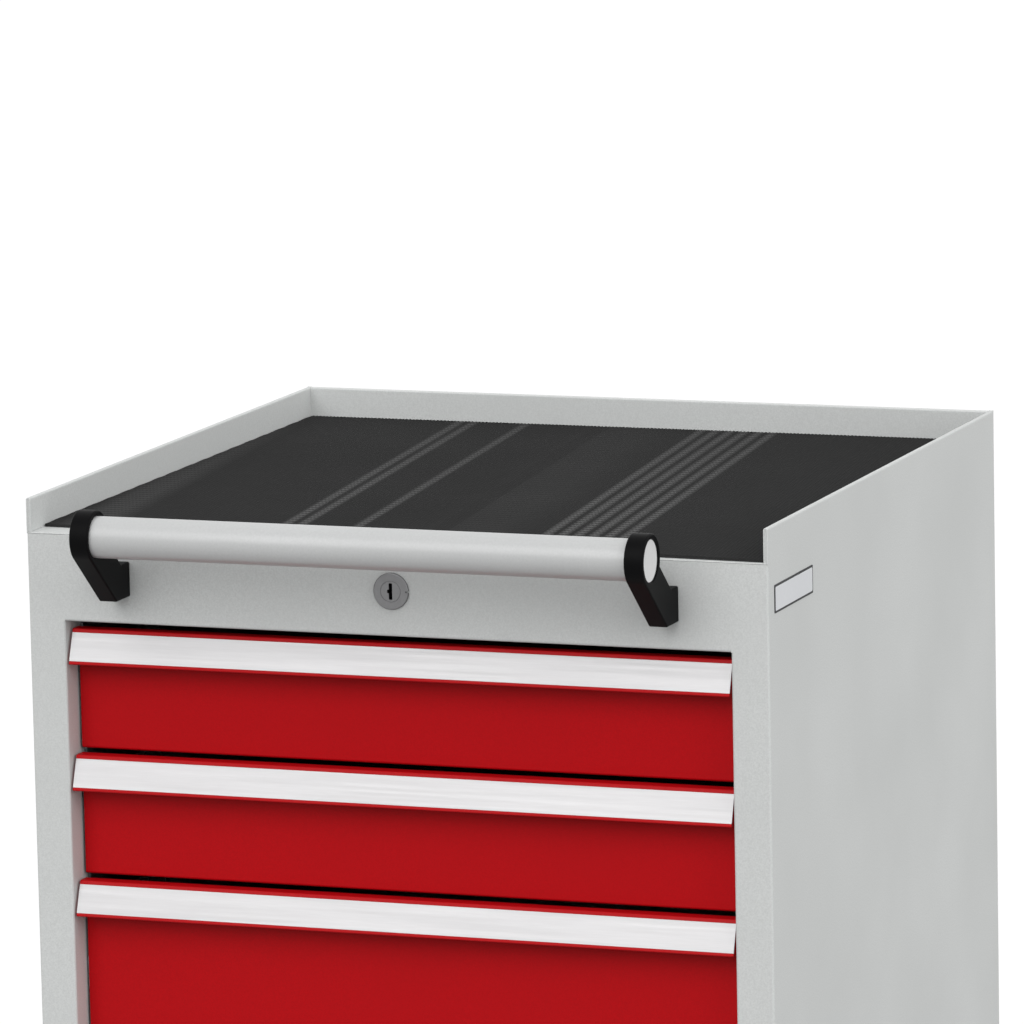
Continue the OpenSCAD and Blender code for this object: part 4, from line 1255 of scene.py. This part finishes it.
def plateShell(y):
    long, deep = castor["plateLength"] / 2, castor["plateDepth"] / 2
    return block((castorX - long, y - deep, plateZ), (castorX + long, y + deep, platesHigh[2]), 2,
                 castor["plateCorner"], castor["plateEdge"], hard="")


def swivelShells():
    # plate, the bearing's two pressed races with a groove between them, and the kingpin
    centre, r, lip = (castorX, forkY), castor["bearingRadius"], castor["raceLip"]
    middle, half = (plateZ + bearingLowZ) / 2, castor["grooveHalf"]
    groove = r - castor["grooveDepth"]
    races = [(bearingLowZ, 0), (bearingLowZ, r - lip), (middle - half, r), (middle - half, groove),
             (middle + half, groove), (middle + half, r), (plateZ, r - lip / 2), (plateZ, 0)]
    low, pin = platesLow[2], castor["kingpinRadius"]
    high, rim = low + castor["kingpinHead"], pin + castor["kingpinRim"]
    end = bearingLowZ + castor["lap"]
    kingpin = [(low, 0), (low, rim), (high, rim), (high, pin), (end, pin), (end, 0)]
    return [plateShell(forkY),
            turned(races, castor["raceRadii"], 2, centre, castor["bearingSegments"]),
            turned(kingpin, castor["kingpinRadii"], 2, centre, castor["pinSegments"])]


def legReach(z, top, back, dy):
    # How far a leg reaches to the front and the back at a height: straight sides run from the
    # shoulders down to where they touch the round eye, and the eye's circle closes them.
    eye, front = castor["eyeRadius"], -castor["topHalf"]
    down = np.sqrt(np.clip(eye ** 2 - (z - axleZ) ** 2, 0, None))
    edges = []
    for side, (y, high) in ((-1, (front, top - castor["shoulder"])), (1, (back, top))):
        offset = np.array([y - dy, high - axleZ])
        touch = math.atan2(offset[1], offset[0]) - side * math.acos(eye / np.hypot(*offset))
        touchY, touchZ = dy + eye * math.cos(touch), axleZ + eye * math.sin(touch)
        line = touchY + (y - touchY) * np.clip((z - touchZ) / (high - touchZ), 0, 1)
        edges.append(np.where(z < touchZ, dy + side * down, line))
    return edges


def forkShell(x, y, top, back, dy, crown):
    # A band of sheet carried down one leg, across the crown and up the other. The middle line
    # is a row of places in X and Z, and at each of them the band reaches from its front edge
    # to its back edge, with both edges rounded off as quarter circles.
    t, eye = castor["forkSheet"], castor["eyeRadius"]
    half, high = (castor["forkInside"] + t) / 2, top - t / 2
    bend = castor["forkBend"] + t / 2
    turns = np.linspace(castor["eyeStart"], math.pi / 2, castor["eyeSteps"])
    upwards = np.linspace(axleZ, high - bend, castor["legSteps"])[1:]
    rise = np.concatenate([axleZ - eye * np.cos(turns), upwards])
    turn, _ = roundedLine([(-half, axleZ), (-half, high), (half, high), (half, axleZ)], bend)
    line = np.concatenate([np.stack([np.full(len(rise), -half), rise], -1), turn[1:-1],
                           np.stack([np.full(len(rise), half), rise[::-1]], -1)])
    if not crown:
        line = line[:len(rise)]
        line[-1, 1] = top
    normals = leftOf(unit(np.gradient(line, axis=0)))
    frontEdge, backEdge = (edge[:, None] for edge in legReach(line[:, 1], top, back, dy))
    inward, inset = edgeSteps(castor["forkEdge"])
    room = np.maximum(backEdge - frontEdge, 0) / 2
    across = np.concatenate([frontEdge + np.minimum(inward, room),
                             backEdge - np.minimum(inward[::-1], room)], axis=1)
    skin = normals[:, None] * (t / 2 - np.concatenate([inset, inset[::-1]]))[None, :, None]
    loops = np.concatenate([line[:, None] + skin, (line[:, None] - skin)[:, ::-1]], axis=1)
    ys = np.concatenate([across, across[:, ::-1]], axis=1)
    return sheetShell(np.stack([loops[..., 0] + x, ys + y, loops[..., 1]], axis=-1))


def fixedLegShells():
    leg = forkShell(0, fixedY, plateZ, castor["topHalf"], 0, False)
    return [moved(each, (castorX, 0, 0)) for each in onBothSides([leg])]


def boltShells(x, y):
    # the head and the nut, two chamfered hexagons, and the shank through both
    r, outer = castor["axleRadius"], castor["forkInside"] / 2 + castor["forkSheet"]
    full = castor["headShare"] * 2 * r
    flats = hexagon(2 * full * math.cos(math.pi / 6))
    segments, centre = castor["bearingSegments"], (y, axleZ)
    shells = []
    for side in (-1, 1):
        inside, outside = x + side * outer, x + side * (outer + r)
        profile = [(inside, 0), (outside, 0), (outside, full), (inside, full)]
        shells.append(turned(profile, castor["headRadii"], 0, centre, segments, limit=flats))
    start, end = x - outer - castor["lap"], x + outer + r + castor["boltEnd"]
    shank = [(start, 0), (end, 0), (end, r), (start, r)]
    return shells + [turned(shank, castor["boltRadii"], 0, centre, castor["pinSegments"])]


def tyreShell(node):
    # closed section, turned: tread with two fine grooves, round shoulders, and the bead
    low, high = boxOf(node)
    x, half = (low[0] + high[0]) / 2, (high[0] - low[0]) / 2
    inner, side = rimRadius + castor["turnGap"], half - wheel["sideStep"]
    bead, at, wide = inner + wheel["beadHeight"], wheel["grooveAt"], wheel["grooveHalf"]
    r, floor = wheelRadius, wheelRadius - wheel["grooveDepth"]
    places = [(half, inner), (half, bead), (side, bead + wheel["beadSlope"]), (side, r),
              (at + wide, r), (at, floor), (at - wide, r)]
    radii = (*wheel["beadRadii"], wheel["shoulder"], *wheel["grooveRadii"])
    section = bothWays(list(zip(places, radii)))
    return turnedAt(section, x, (low[1:] + high[1:]) / 2, wheel["tyreSegments"])


def wheelShells(node):
    # rim, dished web and hub as one turned section, with ribs on both sides of the web
    low, high = boxOf(node)
    x, centre = (low[0] + high[0]) / 2, (low[1:] + high[1:]) / 2
    web, hub, rimIn = wheel["webHalf"], wheel["hubRadius"], rimRadius - wheel["rimThickness"]
    hubHalf, rimHalf = (high[0] - low[0]) / 2, wheel["rimHalf"]
    bore = castor["axleRadius"] + castor["turnGap"]
    places = [(hubHalf, bore), (hubHalf, hub - wheel["hubTaper"]), (web, hub), (web, rimIn),
              (rimHalf, rimIn), (rimHalf, rimRadius)]
    section = bothWays(list(zip(places, (*wheel["hubRadii"], *wheel["rimRadii"]))))
    shells = [turnedAt(section, x, centre, wheel["segments"])]
    start, end = hub - wheel["ribRoots"][0], rimIn + wheel["ribRoots"][1]
    for angle in 2 * math.pi * np.arange(wheel["ribs"]) / wheel["ribs"]:
        shells += [ribShell(x, centre, angle, side, start, end) for side in (-1, 1)]
    return shells


def ribShell(x, centre, angle, side, start, end):
    # a flat rib in the plane of X and the radius, set at its angle round the axle
    inside, edge = side * (wheel["webHalf"] - wheel["ribRoots"][2]), wheel["ribEdge"]
    line = [(inside, start), (inside, end), (side * wheel["ribRimReach"], end),
            (side * wheel["ribHubReach"], start)]
    radii = [0, 0, edge, edge]
    points, quads, triangles = slab([outline(line[::-side], radii[::-side])], 2,
                                    -wheel["ribHalf"], wheel["ribHalf"], edge)
    a, r, t = points.T
    y = centre[0] + r * math.cos(angle) - t * math.sin(angle)
    z = centre[1] + r * math.sin(angle) + t * math.cos(angle)
    return np.stack([x + a, y, z], axis=-1), quads, triangles


def pedalShells(x):
    # A tread plate that rises to its tip, ridges across it, a narrower shoe that hangs before
    # the tyre, and the boss of its pivot.
    half, rise, lap = pedal["width"] / 2, pedal["tipRise"], pedal["lap"]
    top, bottom = pivotZ + pedal["thickness"] / 2, pivotZ - pedal["thickness"] / 2
    heel, webY, tip = pivotY + np.array([pedal["heel"], -pedal["webStart"], -pedal["reach"]])
    crestY = tip + pedal["tipBevel"]
    plate = [(heel, bottom), (heel, top), (crestY, top + rise), (tip, top - rise),
             (tip + rise, bottom), (webY, bottom - lap)]
    shoeRadius, turn = wheelRadius + pedal["shoeGap"], math.radians(pedal["shoeAngle"])
    shoeY = forkY + trail + shoeRadius * math.cos(turn)
    shoeZ, lean = axleZ + shoeRadius * math.sin(turn), pedal["shoeLean"]
    shoe = [(heel - lap, bottom), (heel - lap, top - lap), (webY, top - lap), (webY, bottom - lap),
            (shoeY - pedal["shoeDepth"], shoeZ + lean), (shoeY, shoeZ),
            (shoeY + lean, shoeZ + pedal["shoeHeight"])]
    inner, plateLine = half - pedal["shoeInset"], outline(plate, pedal["plateRadii"])
    shells = [slab([plateLine], 0, x - half, x + half, pedal["plateEdge"]),
              slab([outline(shoe, pedal["shoeRadii"])], 0, x - inner, x + inner,
                   pedal["shoeEdge"])]
    slope = rise / (heel - crestY)
    for y in tip + pedal["treadStart"] + pedal["treadPitch"] * np.arange(pedal["treads"]):
        z = top + slope * (heel - y) - pedal["treadRadius"] / 2
        ridge = disc((y, z), pedal["treadRadius"], pedal["treadSegments"])
        shells.append(slab([ridge], 0, x - inner, x + inner, pedal["treadEdge"]))
    return shells + [pivotBar(x, castor["forkInside"] / 2 - castor["gap"], pedal["bossRadius"])]


def pivotBar(x, reach, radius):
    # a round bar on the pedal's pivot, reaching as far to both sides of the castor's middle
    bar = [(x - reach, 0), (x + reach, 0), (x + reach, radius), (x - reach, radius)]
    edge = pedal["barEdge"]
    return turned(bar, [0, 0, edge, edge], 0, (pivotY, pivotZ), pedal["barSegments"])


def pinCutter(x):
    # the two holes for the pedal's pin, cut through both legs of a fork at once
    reach, radius = castor["forkInside"], pedal["pinRadius"] + castor["turnGap"]
    return drill((pivotY, pivotZ), radius, 0, x - reach, x + reach, pedal["barSegments"])


finishPiece("swivel_plates", onBothSides(swivelShells()), "zinc steel",
            "swivel_castor_plates")
finishPiece("fixed_brackets", onBothSides([plateShell(fixedY), *fixedLegShells()]),
            "zinc steel", "fixed_castor_brackets")
finishPiece("fixed_wheel_bolts", onBothSides(boltShells(castorX, fixedY)), "zinc steel",
            "fixed_castor_axles")
softenedCopy("castor_plate_bolts", "castor_bolts", "zinc steel")
back = castor["topHalf"] + castor["backExtra"]
pinReach = castor["forkInside"] / 2 + castor["forkSheet"] - pedal["pinShort"]
for side, x in (("left", -castorX), ("right", castorX)):
    fork, foot = f"{side}_castor_fork", f"{side}_pedal"
    finishPiece(f"{side}_swivel_fork", [forkShell(x, forkY, crownHighZ, back, trail, True)],
                "zinc steel", f"{side}_fork", fork, cutters=[pinCutter(x)])
    finishPiece(f"{side}_wheel_bolt", boltShells(x, forkY + trail), "zinc steel",
                f"{side}_fork_axle", fork)
    finishPiece(foot, pedalShells(x), "pedal plastic", f"{side}_brake_pedal", foot)
    finishPiece(f"{side}_pedal_pin", [pivotBar(x, pinReach, pedal["pinRadius"])], "zinc steel",
                f"{side}_brake_pedal", foot)
    for place in (f"{side}_front", f"{side}_rear"):
        finishPiece(f"{place}_tread", [tyreShell(f"{place}_tyre")], "tyre rubber",
                    f"{place}_tyre", f"{place}_castor_wheel")
        finishPiece(f"{place}_wheel_body", wheelShells(f"{place}_wheel"), "wheel plastic",
                    f"{place}_wheel", f"{place}_castor_wheel")
print("castors made")


# Camera and stage
camera = {
    "place": (2.0223, -5.42875, 1.9135),
    "yaw": 20.39,
    "pitch": 9.5,
    "roll": 1.16,
    "lens": 262.53,
    "sensor": 36,
    "farEnd": 200,
}


def makeCamera():
    # The view direction is turned left by the yaw and down by the pitch, and the picture's
    # right and down directions are turned about it by the roll.
    yaw, pitch, roll = (math.radians(camera[key]) for key in ("yaw", "pitch", "roll"))
    forward = Vector((-math.sin(yaw) * math.cos(pitch), math.cos(yaw) * math.cos(pitch),
                      -math.sin(pitch)))
    right = Vector((math.cos(yaw), math.sin(yaw), 0))
    down = forward.cross(right)
    rolledRight = math.cos(roll) * right + math.sin(roll) * down
    up = math.sin(roll) * right - math.cos(roll) * down
    data = bpy.data.cameras.new("camera")
    data.sensor_width = camera["sensor"]
    data.lens = camera["lens"]
    data.clip_end = camera["farEnd"]
    view = bpy.data.objects.new("camera", data)
    turn = Matrix((rolledRight, up, -forward)).transposed().to_4x4()
    view.matrix_world = Matrix.Translation(camera["place"]) @ turn
    bpy.context.scene.collection.objects.link(view)
    bpy.context.scene.camera = view


stage = {
    "floorHalf": 40,
    "floorColour": 0.28,
    "floorGlow": 0.7,
    "worldStrength": 0.74,
    "suns": [
        # name, strength, softness in degrees, direction in which its light travels
        ("front", 1.55, 50, (0.1, 0.8, -0.58)),
        ("right", 1.25, 60, (-0.9, 0.15, -0.4)),
    ],
}


def shownRays(n):
    # 1 for camera, glossy and transmission rays, else 0
    path = n.add("LightPath")
    first = n.add("Math", {0: path.outputs["Is Camera Ray"], 1: path.outputs["Is Glossy Ray"]},
                  operation="MAXIMUM")
    last = n.add("Math", {0: first.outputs[0], 1: path.outputs["Is Transmission Ray"]},
                 operation="MAXIMUM")
    return last.outputs[0]


def makeFloor():
    # Light comes back from the floor's colour, and what the camera sees of it is lifted to
    # white by a glow. From below the floor is clear, so that the underside shows.
    half = stage["floorHalf"]
    mesh = bpy.data.meshes.new("floor")
    mesh.from_pydata([(-half, -half, 0), (half, -half, 0), (half, half, 0), (-half, half, 0)],
                     [], [(0, 1, 2, 3)])
    material = bpy.data.materials.new("floor")
    n = Nodes(material)
    n.tree.nodes.remove(n.shader)
    diffuse = n.add("BsdfDiffuse", {"Color": (*[stage["floorColour"]] * 3, 1)})
    share = n.add("Math", {0: shownRays(n), 1: stage["floorGlow"]}, operation="MULTIPLY")
    glow = n.add("Emission", {"Color": (1, 1, 1, 1), "Strength": share.outputs[0]})
    both = n.add("AddShader", {0: diffuse.outputs[0], 1: glow.outputs[0]})
    clear = n.add("BsdfTransparent").outputs[0]
    below = n.add("MixShader", {0: n.add("NewGeometry").outputs["Backfacing"],
                                1: both.outputs[0], 2: clear})
    n.put(n.tree.nodes["Material Output"], "Surface", below.outputs[0])
    mesh.materials.append(material)
    floor = bpy.data.objects.new("floor", mesh)
    bpy.context.scene.collection.objects.link(floor)


def makeLights():
    # the world lights the object at its strength, and is plain white where it is seen
    world = bpy.data.worlds.new("studio")
    bpy.context.scene.world = world
    n = Nodes(world)
    plain = n.tree.nodes["Background"]
    n.put(plain, "Color", (1, 1, 1, 1))
    n.put(plain, "Strength", stage["worldStrength"])
    white = n.add("Background", {"Color": (1, 1, 1, 1), "Strength": 1})
    mix = n.add("MixShader", {0: shownRays(n), 1: plain.outputs[0], 2: white.outputs[0]})
    n.put(n.tree.nodes["World Output"], "Surface", mix.outputs[0])
    for name, strength, softness, direction in stage["suns"]:
        lamp = bpy.data.lights.new(name, "SUN")
        lamp.energy = strength
        lamp.angle = math.radians(softness)
        sun = bpy.data.objects.new(name, lamp)
        sun.rotation_euler = Vector(direction).to_track_quat("-Z", "Y").to_euler()
        bpy.context.scene.collection.objects.link(sun)


makeCamera()
makeFloor()
makeLights()
bpy.context.scene.view_settings.view_transform = "Standard"
print("camera and stage made")
